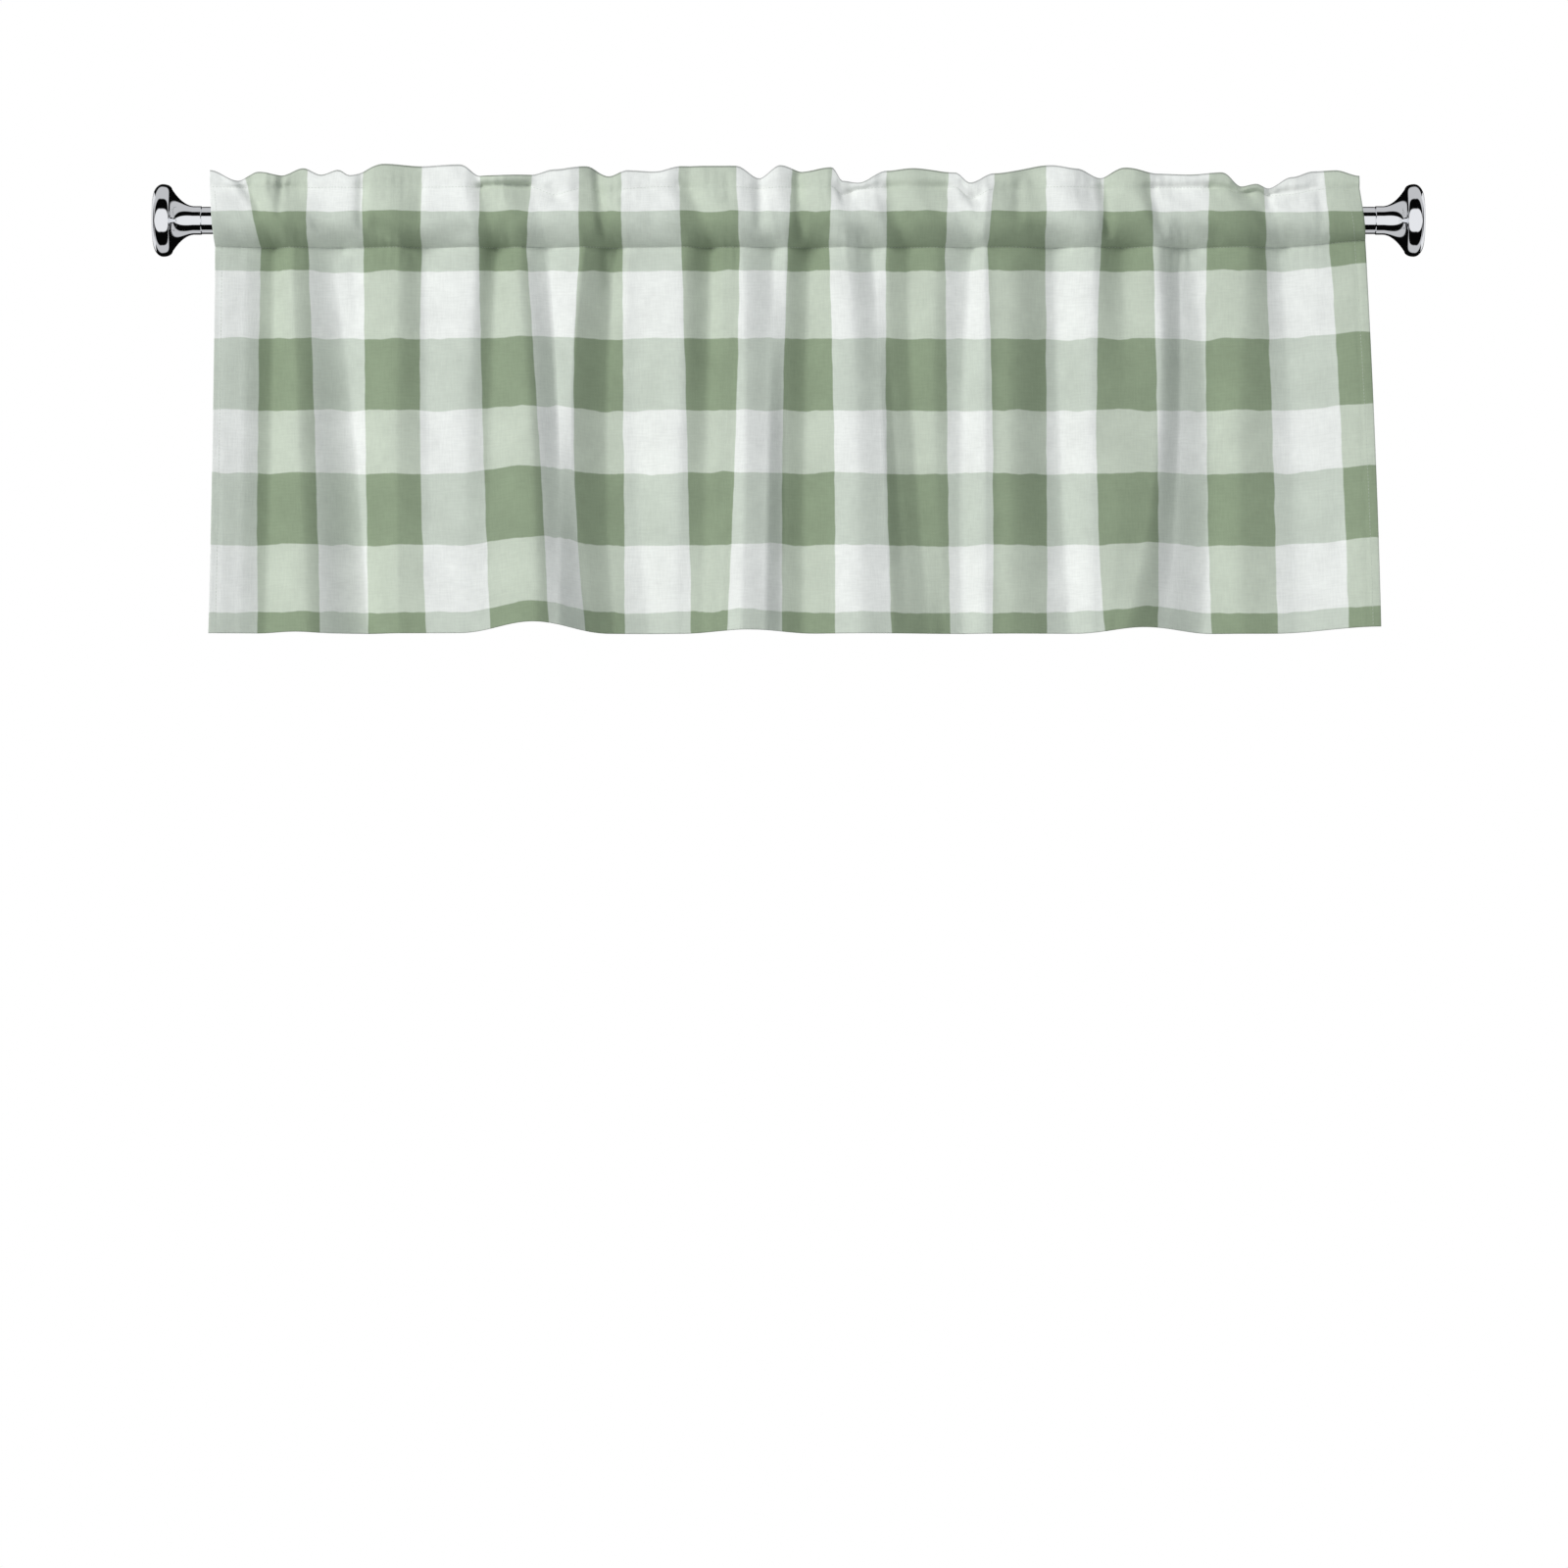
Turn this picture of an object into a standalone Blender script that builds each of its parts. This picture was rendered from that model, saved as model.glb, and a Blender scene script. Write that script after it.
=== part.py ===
"""Window valance gathered on a chromed curtain rod with a turned finial at each end.

One panel of cloth hangs from the rod: a ruffled header, a rod pocket that wraps the rod,
and a skirt with uneven folds. X runs along the rod, -Y faces the room and +Z is up.
The origin is the centre of the left finial's flat end face. Sizes are in millimetres.
"""

import math
from collections import namedtuple

import bmesh
import bpy
from mathutils import Vector

MM = 0.001

# Rod: a steel tube that slides over a spigot on each finial
OVERALL_LENGTH = 1185.0
ROD_RADIUS = 12.7
ROD_BORE_RADIUS = 11.5
FIT_GAP = 0.3

# Finial: a round flange, a trumpet flare, a straight neck and a spigot
FLAT_RADIUS = 22.0
FLANGE_RADIUS = 33.8
FLANGE_CREST = 8.8
FLARE_RADIUS = 29.6
FLARE_START = 16.8
FLARE_END = 38.2
FLARE_POWER = 2.0
NECK_RADIUS = 13.3
NECK_END = 44.8
SPIGOT_RADIUS = 11.2
SPIGOT_END = 73.0
TURNED_SIDES = 32
DOME_STEPS = 5
BACK_STEPS = 4
FLARE_STEPS = 7
SMOOTH_BELOW = math.radians(35.0)

# Cloth
CLOTH_THICKNESS = 1.6
HEM_HEIGHT = -385.6
LOWER_SEAM_HEIGHT = -25.2
UPPER_SEAM_HEIGHT = 30.7
STATION_SPACING = 12.5
STEPS_PER_FOLD = 2
SEAM_TURNING = 4.0
APEX_OFFSET = 2.5
GATHER_AT_UPPER_SEAM = 0.5
GATHER_IN_POCKET = 0.35
GATHER_BEHIND_ROD = 0.25

# How far down the skirt each row of points lies, from the lower seam at 0 to the hem at 1
SKIRT_SHARES = (0.10, 0.22, 0.36, 0.50, 0.64, 0.78, 0.90, 1.0)
HEADER_SHARES = (0.33, 0.67, 1.0)

# One row for each ridge, valley or edge of the skirt, from left to right.
# head, seam, mid and hem: distance along the rod at the header, the lower seam, half-way
# down and the hem. near_*: how far it stands towards the room. crisp: 0 round, 1 sharp.
Fold = namedtuple("Fold", "head seam mid hem near_seam near_mid near_hem crisp")
FOLDS = (
    Fold(53, 58, 56, 52, 9, 14, 14, 0.3),
    Fold(72, 86, 84, 80, 4, 8, 7, 0.8),
    Fold(91, 112, 109, 104, -6, -5, -2, 0.5),
    Fold(106, 129, 137, 145, 8, 12, 15, 0.2),
    Fold(132, 165, 186, 200, -6, -18, -19, 0.3),
    Fold(222, 229, 228, 230, 9, 12, 11, 0.2),
    Fold(248, 252, 256, 262, -3, 6, 13, 0.4),
    Fold(290, 302, 292, 292, 9, 12, 17, 0.2),
    Fold(305, 320, 314, 312, -3, 6, 18, 0.4),
    Fold(327, 338, 353, 358, 9, 21, 34, 0.2),
    Fold(353, 366, 378, 379, -3, 2, 27, 0.9),
    Fold(388, 402, 390, 407, 11, 1, -1, 0.8),
    Fold(417, 431, 422, 430, -6, -20, -17, 0.7),
    Fold(432, 446, 446, 462, 3, -19, -24, 0.2),
    Fold(480, 496, 492, 490, 9, 7, -14, 0.2),
    Fold(500, 521, 516, 510, -5, 0, -8, 0.4),
    Fold(515, 533, 530, 523, 6, 6, 0, 0.3),
    Fold(524, 541, 538, 533, 8, 8, 4, 0.2),
    Fold(538, 551, 552, 548, 10, 15, 13, 0.4),
    Fold(566, 579, 574, 571, -2, 9, 8, 0.8),
    Fold(583, 591, 588, 586, 5, -3, -3, 0.7),
    Fold(602, 612, 608, 606, -6, -12, -11, 0.5),
    Fold(630, 647, 657, 661, 10, 9, 12, 0.2),
    Fold(651, 671, 681, 690, -2, 3, 7, 0.8),
    Fold(671, 684, 692, 706, 3, -5, 0, 0.8),
    Fold(687, 704, 710, 726, -3, -11, -11, 0.7),
    Fold(711, 731, 730, 740, 7, -4, -17, 0.3),
    Fold(738, 763, 754, 756, -3, -10, -20, 0.4),
    Fold(758, 776, 776, 777, 9, 6, -5, 0.4),
    Fold(775, 785, 786, 787, 8, 5, -5, 0.2),
    Fold(785, 799, 799, 804, 8, 7, -2, 0.1),
    Fold(820, 841, 846, 856, -6, -14, -13, 0.4),
    Fold(855, 877, 877, 880, 10, 5, 0, 0.2),
    Fold(887, 905, 905, 894, -5, 6, 3, 0.3),
    Fold(915, 935, 936, 908, 10, 7, 5, 0.2),
    Fold(935, 957, 957, 945, -3, -8, -10, 0.9),
    Fold(950, 968, 985, 980, -5, -17, -24, 0.3),
    Fold(1000, 1020, 1016, 1022, 9, -2, -11, 0.1),
    Fold(1035, 1052, 1062, 1066, -5, -9, -10, 0.3),
    Fold(1066, 1080, 1098, 1108, 5, 4, 5, 0.9),
    Fold(1125, 1130, 1138, 1144, 12, 21, 21, 0.2),
)

# Places where the cloth is drawn up, one row each: the middle of the place, its half width,
# and how far the lower seam, the half-way level and the hem are raised there
Rise = namedtuple("Rise", "middle reach seam mid hem")
RISES = (
    Rise(131, 37, 0, 0, 1.5),
    Rise(355, 69, 0, 5, 10.5),
    Rise(556, 64, 0, 0, 3.5),
    Rise(927, 64, 0, 0, 6),
    Rise(1144, 100, 6, 6, 6),
)

# The header's ruffles, one row for each: distance along the rod, height of the top edge,
# height of the upper seam, and how far the top edge leans towards the room
Ruffle = namedtuple("Ruffle", "along top seam lean")
RUFFLES = (
    Ruffle(53, 45.8, 30.7, -3),
    Ruffle(78, 36.0, 30.2, 0),
    Ruffle(97, 44.8, 30.7, -5),
    Ruffle(119, 41.2, 30.7, -2),
    Ruffle(139, 48.5, 30.7, -6),
    Ruffle(156, 42.1, 30.7, -3),
    Ruffle(172, 46.7, 30.7, -6),
    Ruffle(183, 41.2, 30.2, -3),
    Ruffle(215, 52.2, 30.7, -7),
    Ruffle(248, 50.3, 30.7, -7),
    Ruffle(286, 51.5, 30.7, -7),
    Ruffle(305, 40.4, 30.7, 2),
    Ruffle(352, 41.5, 30.7, 2),
    Ruffle(374, 46.7, 23.8, -4),
    Ruffle(404, 50.0, 30.2, -6),
    Ruffle(425, 40.3, 24.4, -2),
    Ruffle(442, 46.2, 29.3, -5),
    Ruffle(468, 44.8, 30.7, -5),
    Ruffle(493, 50.3, 30.7, -7),
    Ruffle(544, 50.3, 30.7, -7),
    Ruffle(565, 38.9, 29.7, -2),
    Ruffle(585, 51.0, 30.7, -7),
    Ruffle(606, 44.8, 30.7, -2),
    Ruffle(633, 48.5, 30.7, -3),
    Ruffle(643, 35.7, 23.8, 2),
    Ruffle(658, 33.9, 28.8, 3),
    Ruffle(684, 45.8, 31.1, -4),
    Ruffle(709, 47.9, 31.1, -5),
    Ruffle(748, 43.9, 30.7, -3),
    Ruffle(762, 33.9, 20.1, 2),
    Ruffle(784, 43.0, 28.4, -4),
    Ruffle(837, 51.2, 30.7, -7),
    Ruffle(862, 47.6, 30.7, -6),
    Ruffle(883, 39.3, 30.2, -2),
    Ruffle(906, 48.5, 30.7, -6),
    Ruffle(938, 43.0, 30.5, -3),
    Ruffle(966, 41.6, 30.2, 0),
    Ruffle(997, 43.5, 30.2, 0),
    Ruffle(1015, 30.5, 24.7, 3),
    Ruffle(1029, 32.9, 27.0, 3),
    Ruffle(1040, 29.0, 23.3, 2),
    Ruffle(1062, 39.3, 23.8, -1),
    Ruffle(1083, 45.0, 27.8, -4),
    Ruffle(1103, 45.8, 30.2, -5),
    Ruffle(1125, 40.3, 29.3, -3),
)

# The pocket around the rod, from just above the lower seam to just below the upper one:
# height, and how far the outside of the cloth stands in front of and behind the rod's axis
Wrap = namedtuple("Wrap", "height front back")
WRAPS = (
    Wrap(-21.5, 5.0, 9.0),
    Wrap(-12.0, 14.8, 16.0),
    Wrap(-1.5, 19.6, 17.2),
    Wrap(9.0, 15.6, 14.4),
    Wrap(20.0, 8.2, 7.6),
)
ROD_ZONE_BOTTOM = -12.0
ROD_ZONE_TOP = 9.0


def clear_scene():
    for old in list(bpy.data.objects):
        bpy.data.objects.remove(old, do_unlink=True)


def finish_material(name, color, roughness, metallic):
    made = bpy.data.materials.new(name)
    made.use_nodes = True
    shader = made.node_tree.nodes["Principled BSDF"]
    shader.inputs["Base Color"].default_value = (*color, 1.0)
    shader.inputs["Roughness"].default_value = roughness
    shader.inputs["Metallic"].default_value = metallic
    return made


def add_object(name, body, material):
    bmesh.ops.recalc_face_normals(body, faces=body.faces[:])
    mesh = bpy.data.meshes.new(name)
    body.to_mesh(mesh)
    body.free()
    mesh.shade_smooth()
    mesh.set_sharp_from_angle(angle=SMOOTH_BELOW)
    mesh.materials.append(material)
    added = bpy.data.objects.new(name, mesh)
    bpy.context.scene.collection.objects.link(added)
    return added


def turned_body(profile, closed):
    """A body turned about X from (distance, radius) points, capped unless the profile closes."""
    body = bmesh.new()
    rings = []
    for along, radius in profile:
        ring = []
        for side in range(TURNED_SIDES):
            angle = math.tau * side / TURNED_SIDES
            place = Vector((along, radius * math.cos(angle), radius * math.sin(angle)))
            ring.append(body.verts.new(place * MM))
        rings.append(ring)
    pairs = list(zip(rings, rings[1:]))
    if closed:
        pairs.append((rings[-1], rings[0]))
    else:
        body.faces.new(rings[0])
        body.faces.new(rings[-1])
    for ring, following in pairs:
        for side in range(TURNED_SIDES):
            beside = (side + 1) % TURNED_SIDES
            body.faces.new((ring[side], ring[beside], following[beside], following[side]))
    return body


def finial_profile():
    profile = []
    for step in range(DOME_STEPS):
        angle = 0.5 * math.pi * step / DOME_STEPS
        along = FLANGE_CREST * (1.0 - math.cos(angle))
        profile.append((along, FLAT_RADIUS + (FLANGE_RADIUS - FLAT_RADIUS) * math.sin(angle)))
    for step in range(BACK_STEPS):
        angle = 0.5 * math.pi * step / BACK_STEPS
        along = FLANGE_CREST + (FLARE_START - FLANGE_CREST) * math.sin(angle)
        profile.append((along, FLARE_RADIUS + (FLANGE_RADIUS - FLARE_RADIUS) * math.cos(angle)))
    for step in range(FLARE_STEPS + 1):
        share = step / FLARE_STEPS
        along = FLARE_START + (FLARE_END - FLARE_START) * share
        radius = NECK_RADIUS + (FLARE_RADIUS - NECK_RADIUS) * (1.0 - share) ** FLARE_POWER
        profile.append((along, radius))
    profile.append((NECK_END, NECK_RADIUS))
    profile.append((NECK_END, SPIGOT_RADIUS))
    profile.append((SPIGOT_END, SPIGOT_RADIUS))
    return profile


def add_finials(chrome):
    left = add_object("finial_left", turned_body(finial_profile(), closed=False), chrome)
    right = bpy.data.objects.new("finial_right", left.data)
    bpy.context.scene.collection.objects.link(right)
    right.location.x = OVERALL_LENGTH * MM
    right.rotation_euler.z = math.pi


def add_rod(chrome):
    start = NECK_END + FIT_GAP
    end = OVERALL_LENGTH - NECK_END - FIT_GAP
    profile = (
        (start, ROD_BORE_RADIUS),
        (start, ROD_RADIUS),
        (end, ROD_RADIUS),
        (end, ROD_BORE_RADIUS),
    )
    add_object("rod", turned_body(profile, closed=True), chrome)


def mix(low, high, share):
    return low + (high - low) * share


def through_three(start, middle, end, share):
    """A smooth curve through its values at share 0, a half and 1."""
    return start + share * (4 * middle - 3 * start - end) + 2 * share**2 * (start + end - 2 * middle)


def eased(low, high, share, crisp_low, crisp_high):
    """Ease between two values, level at a round end and straight at a crisp one."""
    rise = high - low
    cubed = share**3
    squared = share**2
    return (
        low
        + rise * (3 * squared - 2 * cubed)
        + rise * crisp_low * (cubed - 2 * squared + share)
        + rise * crisp_high * (cubed - squared)
    )


class Station:
    """One section across the cloth, at a share of the way from one fold to the next."""

    def __init__(self, left, right, share):
        self.left = left
        self.right = right
        self.share = share
        self.header_along = mix(left.head, right.head, share)
        self.ruffle = ruffle_at(self.header_along)

    def along(self, down):
        left = through_three(self.left.seam, self.left.mid, self.left.hem, down)
        right = through_three(self.right.seam, self.right.mid, self.right.hem, down)
        return mix(left, right, self.share)

    def near(self, down):
        left = self.left
        right = self.right
        low = through_three(left.near_seam, left.near_mid, left.near_hem, down)
        high = through_three(right.near_seam, right.near_mid, right.near_hem, down)
        return eased(low, high, self.share, left.crisp, right.crisp)

    def skirt_point(self, down):
        along = self.along(down)
        height = mix(LOWER_SEAM_HEIGHT, HEM_HEIGHT, down) + raised(along, down)
        return Vector((along, -self.near(down), height))

    def pocket_point(self, wrap, behind):
        seam_height = LOWER_SEAM_HEIGHT + raised(self.along(0.0), 0.0)
        height = wrap.height
        if height > ROD_ZONE_TOP:
            reach = (self.ruffle.seam - ROD_ZONE_TOP) / (UPPER_SEAM_HEIGHT - ROD_ZONE_TOP)
            height = ROD_ZONE_TOP + (height - ROD_ZONE_TOP) * reach
        if height < ROD_ZONE_BOTTOM:
            reach = (seam_height - ROD_ZONE_BOTTOM) / (LOWER_SEAM_HEIGHT - ROD_ZONE_BOTTOM)
            height = ROD_ZONE_BOTTOM + (height - ROD_ZONE_BOTTOM) * reach
        up = (height - seam_height) / (self.ruffle.seam - seam_height)
        along = mix(self.along(0.0), self.header_along, up)
        gather = self.near(0.0)
        at_seams = mix(gather, gather * GATHER_AT_UPPER_SEAM, up)
        fullest = max(row.front for row in WRAPS)
        freedom = wrap.front / fullest
        if behind:
            near = at_seams * (1.0 - freedom) - wrap.back - GATHER_BEHIND_ROD * gather * freedom
        else:
            near = at_seams * (1.0 - freedom) + wrap.front + GATHER_IN_POCKET * gather * freedom
        return Vector((along, -near, height))

    def header_point(self, up):
        near = self.near(0.0) * GATHER_AT_UPPER_SEAM + CLOTH_THICKNESS + self.ruffle.lean * up
        return Vector((self.header_along, -near, mix(self.ruffle.seam, self.ruffle.top, up)))


def ruffle_at(along):
    for left, right in zip(RUFFLES, RUFFLES[1:]):
        if along <= right.along:
            break
    share = min(max((along - left.along) / (right.along - left.along), 0.0), 1.0)
    return Ruffle(*(eased(low, high, share, 0.0, 0.0) for low, high in zip(left, right)))


def raised(along, down):
    total = 0.0
    for rise in RISES:
        away = min(abs(along - rise.middle) / rise.reach, 1.0)
        fading = 0.5 * (1.0 + math.cos(math.pi * away))
        total += through_three(rise.seam, rise.mid, rise.hem, down) * fading
    return total


def stations():
    made = []
    for left, right in zip(FOLDS, FOLDS[1:]):
        steps = max(STEPS_PER_FOLD, round((right.mid - left.mid) / STATION_SPACING))
        made.extend(Station(left, right, step / steps) for step in range(steps))
    made.append(Station(FOLDS[-2], FOLDS[-1], 1.0))
    return made


def sheet_normals(grid):
    """The direction towards the room at each point of a grid of rows that run up the cloth."""
    normals = []
    for column, points in enumerate(grid):
        before = grid[max(column - 1, 0)]
        after = grid[min(column + 1, len(grid) - 1)]
        directions = []
        for row in range(len(points)):
            below = points[max(row - 1, 0)]
            above = points[min(row + 1, len(points) - 1)]
            directions.append((after[row] - before[row]).cross(above - below).normalized())
        normals.append(directions)
    return normals


def sections():
    """For each station, the outline and the rod tunnel as closed loops of points."""
    places = stations()
    turning = SEAM_TURNING / (LOWER_SEAM_HEIGHT - HEM_HEIGHT)
    downs = (0.0, turning, *SKIRT_SHARES)
    skirts = [[place.skirt_point(down) for down in reversed(downs)] for place in places]
    fronts = [[place.pocket_point(wrap, behind=False) for wrap in WRAPS] for place in places]
    backs = [[place.pocket_point(wrap, behind=True) for wrap in WRAPS] for place in places]
    headers = [[place.header_point(up) for up in HEADER_SHARES] for place in places]
    skirt_normals = sheet_normals(skirts)
    front_normals = sheet_normals(fronts)
    back_normals = sheet_normals(backs)
    through = Vector((0.0, CLOTH_THICKNESS, 0.0))
    lift = Vector((0.0, 0.0, APEX_OFFSET))
    outlines = []
    tunnels = []
    for column, place in enumerate(places):
        skirt = skirts[column]
        seam = place.header_point(0.0)
        skirt_back = [
            point - normal * CLOTH_THICKNESS for point, normal in zip(skirt, skirt_normals[column])
        ]
        skirt_back[-1] = skirt[-1] + through * 2
        header = headers[column]
        outlines.append(
            skirt
            + fronts[column]
            + [seam]
            + header
            + [point + through * 2 for point in reversed(header)]
            + [seam + through * 2]
            + list(reversed(backs[column]))
            + list(reversed(skirt_back))
        )
        front_inside = [
            point - normal * CLOTH_THICKNESS
            for point, normal in zip(fronts[column], front_normals[column])
        ]
        back_inside = [
            point + normal * CLOTH_THICKNESS
            for point, normal in zip(backs[column], back_normals[column])
        ]
        tunnels.append(
            [skirt[-1] + through + lift]
            + front_inside
            + [seam + through - lift]
            + list(reversed(back_inside))
        )
    return outlines, tunnels


def add_walls(body, loops):
    for loop, following in zip(loops, loops[1:]):
        for row in range(len(loop)):
            above = (row + 1) % len(loop)
            body.faces.new((loop[row], loop[above], following[above], following[row]))


def add_side_edge(body, outline, tunnel):
    """Close the cloth's side edge between its outline and the rod tunnel."""
    half = len(outline) // 2
    front = outline[:half]
    back = outline[: half - 1 : -1]
    inside_front = tunnel[: len(WRAPS) + 2]
    inside_back = tunnel[:1] + tunnel[: len(WRAPS) : -1]
    lower_seam = len(SKIRT_SHARES) + 1
    upper_seam = lower_seam + len(WRAPS) + 1
    for row in range(half - 1):
        if lower_seam <= row < upper_seam:
            turn = row - lower_seam
            body.faces.new((front[row], front[row + 1], inside_front[turn + 1], inside_front[turn]))
            body.faces.new((back[row], back[row + 1], inside_back[turn + 1], inside_back[turn]))
        else:
            body.faces.new((front[row], front[row + 1], back[row + 1], back[row]))
    body.faces.new((front[lower_seam], inside_front[0], back[lower_seam]))
    body.faces.new((front[upper_seam], back[upper_seam], inside_front[-1]))


def add_valance(cloth):
    body = bmesh.new()
    outlines, tunnels = sections()
    outline_verts = [[body.verts.new(point * MM) for point in outline] for outline in outlines]
    tunnel_verts = [[body.verts.new(point * MM) for point in tunnel] for tunnel in tunnels]
    add_walls(body, outline_verts)
    add_walls(body, tunnel_verts)
    add_side_edge(body, outline_verts[0], tunnel_verts[0])
    add_side_edge(body, outline_verts[-1], tunnel_verts[-1])
    add_object("valance", body, cloth)


clear_scene()
chrome_finish = finish_material("chromed steel", (0.78, 0.78, 0.79), 0.08, 1.0)
cloth_finish = finish_material("printed cotton blend", (0.63, 0.70, 0.60), 0.9, 0.0)
add_rod(chrome_finish)
add_finials(chrome_finish)
add_valance(cloth_finish)
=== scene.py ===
import math
from collections import namedtuple

import bpy
import numpy as np
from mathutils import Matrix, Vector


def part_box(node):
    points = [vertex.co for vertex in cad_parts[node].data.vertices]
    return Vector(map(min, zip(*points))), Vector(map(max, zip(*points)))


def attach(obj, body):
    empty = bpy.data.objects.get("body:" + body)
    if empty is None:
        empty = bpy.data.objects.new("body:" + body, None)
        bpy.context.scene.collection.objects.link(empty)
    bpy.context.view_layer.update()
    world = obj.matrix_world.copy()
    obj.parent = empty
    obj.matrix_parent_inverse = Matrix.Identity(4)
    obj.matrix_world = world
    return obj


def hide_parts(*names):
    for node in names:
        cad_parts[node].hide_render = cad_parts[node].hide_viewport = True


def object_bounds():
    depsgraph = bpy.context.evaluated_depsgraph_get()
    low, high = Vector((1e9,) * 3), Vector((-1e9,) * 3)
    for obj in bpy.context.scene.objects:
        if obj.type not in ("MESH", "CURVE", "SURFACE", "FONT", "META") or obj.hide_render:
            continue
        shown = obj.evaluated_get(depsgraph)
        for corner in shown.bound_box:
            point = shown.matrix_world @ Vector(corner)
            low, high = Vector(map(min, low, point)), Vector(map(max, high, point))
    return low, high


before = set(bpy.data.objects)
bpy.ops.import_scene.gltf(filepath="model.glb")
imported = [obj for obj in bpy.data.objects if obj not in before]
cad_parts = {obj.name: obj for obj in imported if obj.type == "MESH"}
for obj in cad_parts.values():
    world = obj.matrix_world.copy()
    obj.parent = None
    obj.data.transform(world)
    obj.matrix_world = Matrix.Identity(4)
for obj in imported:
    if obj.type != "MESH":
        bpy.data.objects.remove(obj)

cad_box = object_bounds()


# The camera stands 6 m in front of the valance, level with the middle of the picture, and
# looks straight ahead through a long lens, so that the rod keeps one scale from end to end.
MM = 0.001
PHOTO_SIDE = 1600
MM_PER_PIXEL = 0.915
END_FACE_PIXEL = 157
ROD_AXIS_PIXEL = 225
CAMERA_DISTANCE = 6000.0
SENSOR_WIDTH = 36.0

scene = bpy.context.scene
camera_data = bpy.data.cameras.new("camera")
camera_data.sensor_width = SENSOR_WIDTH
camera_data.lens = SENSOR_WIDTH * CAMERA_DISTANCE / (PHOTO_SIDE * MM_PER_PIXEL)
camera = bpy.data.objects.new("camera", camera_data)
scene.collection.objects.link(camera)
camera.location = (
    (PHOTO_SIDE / 2 - END_FACE_PIXEL) * MM_PER_PIXEL * MM,
    -CAMERA_DISTANCE * MM,
    (ROD_AXIS_PIXEL - PHOTO_SIDE / 2) * MM_PER_PIXEL * MM,
)
camera.rotation_euler.x = math.radians(90.0)
scene.camera = camera
scene.view_settings.view_transform = "Standard"


# The studio is white all round. A large soft box in front, high on the left, is the key light,
# and a weaker one behind shows the back of the cloth. Polished metal sees bright panels with
# dark gaps between them, as chrome does among a photographer's soft boxes.
ROOM_WHITE = "#FFFFFF"
ROOM_FILL = "#8C9094"
PANEL_WHITE = "#F9F9FA"
PANEL_GREY = "#CFCFD0"
PANEL_GAP = "#070707"
# Degrees up from straight ahead of the cloth at which each panel or gap ends
PANELS = (
    (-130.0, PANEL_GAP),
    (-91.0, PANEL_GREY),
    (-40.0, PANEL_GAP),
    (32.0, PANEL_WHITE),
    (68.0, PANEL_GAP),
    (130.0, PANEL_GREY),
    (180.0, PANEL_GAP),
)
PANEL_SOFTNESS = 2.0
SIDE_SPREAD = 0.16
VALANCE_MIDDLE = (588.0, 0.0, -170.0)
SOFT_BOX_SIDE = 4200.0
SOFT_BOX_DISTANCE = 10000.0
SOFT_BOX_ELEVATION = 31.0
KEY_AZIMUTH = -38.0
KEY_POWER = 732.0
BACK_AZIMUTH = 142.0
BACK_POWER = 220.0
CARD_SIDE = 128.0
CARD_AWAY = 60.0
CARD_BEHIND = 72.0
CARD_WHITE = "#F2F2F3"
FLOOR_HEIGHT = -2100.0
FLOOR_SIDE = 9000.0
FLOOR_PAINT = "#F4F4F3"


def linear(hex_colour):
    """An sRGB hex colour as linear red, green, blue and alpha."""
    values = [int(hex_colour[start : start + 2], 16) / 255 for start in (1, 3, 5)]
    bent = [v / 12.92 if v <= 0.04045 else ((v + 0.055) / 1.055) ** 2.4 for v in values]
    return (*bent, 1.0)


def add_node(tree, kind, inputs=(), **settings):
    """Add a node with its settings, and set or link its inputs by name or number."""
    node = tree.nodes.new(kind)
    for name, value in settings.items():
        setattr(node, name, value)
    for socket, value in dict(inputs).items():
        if isinstance(value, bpy.types.NodeSocket):
            tree.links.new(value, node.inputs[socket])
        else:
            node.inputs[socket].default_value = value
    return node


studio = bpy.data.worlds.new("white studio")
scene.world = studio
studio.use_nodes = True
tree = studio.node_tree
tree.nodes.clear()
direction = add_node(tree, "ShaderNodeTexCoord")
axes = add_node(tree, "ShaderNodeSeparateXYZ", {0: direction.outputs["Generated"]})
sideways = add_node(tree, "ShaderNodeMath", {0: axes.outputs["X"]}, operation="ABSOLUTE")
spread = add_node(
    tree, "ShaderNodeMath", {0: sideways.outputs[0], 1: SIDE_SPREAD}, operation="MULTIPLY"
)
ahead = add_node(
    tree, "ShaderNodeMath", {0: spread.outputs[0], 1: axes.outputs["Y"]}, operation="SUBTRACT"
)
angle = add_node(
    tree, "ShaderNodeMath", {0: axes.outputs["Z"], 1: ahead.outputs[0]}, operation="ARCTAN2"
)
turn = add_node(
    tree, "ShaderNodeMapRange", {0: angle.outputs[0], 1: -math.pi, 2: math.pi, 3: 0.0, 4: 1.0}
)
panels = add_node(tree, "ShaderNodeValToRGB", {0: turn.outputs[0]})
ramp = panels.color_ramp.elements
ramp[0].position = 0.0
ramp[0].color = linear(PANELS[0][1])
ramp[1].position = 1.0
ramp[1].color = linear(PANELS[-1][1])
for (end, panel), (_, following) in zip(PANELS, PANELS[1:]):
    ramp.new((end - PANEL_SOFTNESS + 180.0) / 360.0).color = linear(panel)
    ramp.new((end + PANEL_SOFTNESS + 180.0) / 360.0).color = linear(following)
path = add_node(tree, "ShaderNodeLightPath")
lighting = add_node(
    tree,
    "ShaderNodeMix",
    {0: path.outputs["Is Glossy Ray"], 6: linear(ROOM_FILL), 7: panels.outputs[0]},
    data_type="RGBA",
)
shown = add_node(
    tree,
    "ShaderNodeMix",
    {0: path.outputs["Is Camera Ray"], 6: lighting.outputs[2], 7: linear(ROOM_WHITE)},
    data_type="RGBA",
)
background = add_node(tree, "ShaderNodeBackground", {0: shown.outputs[2]})
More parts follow.
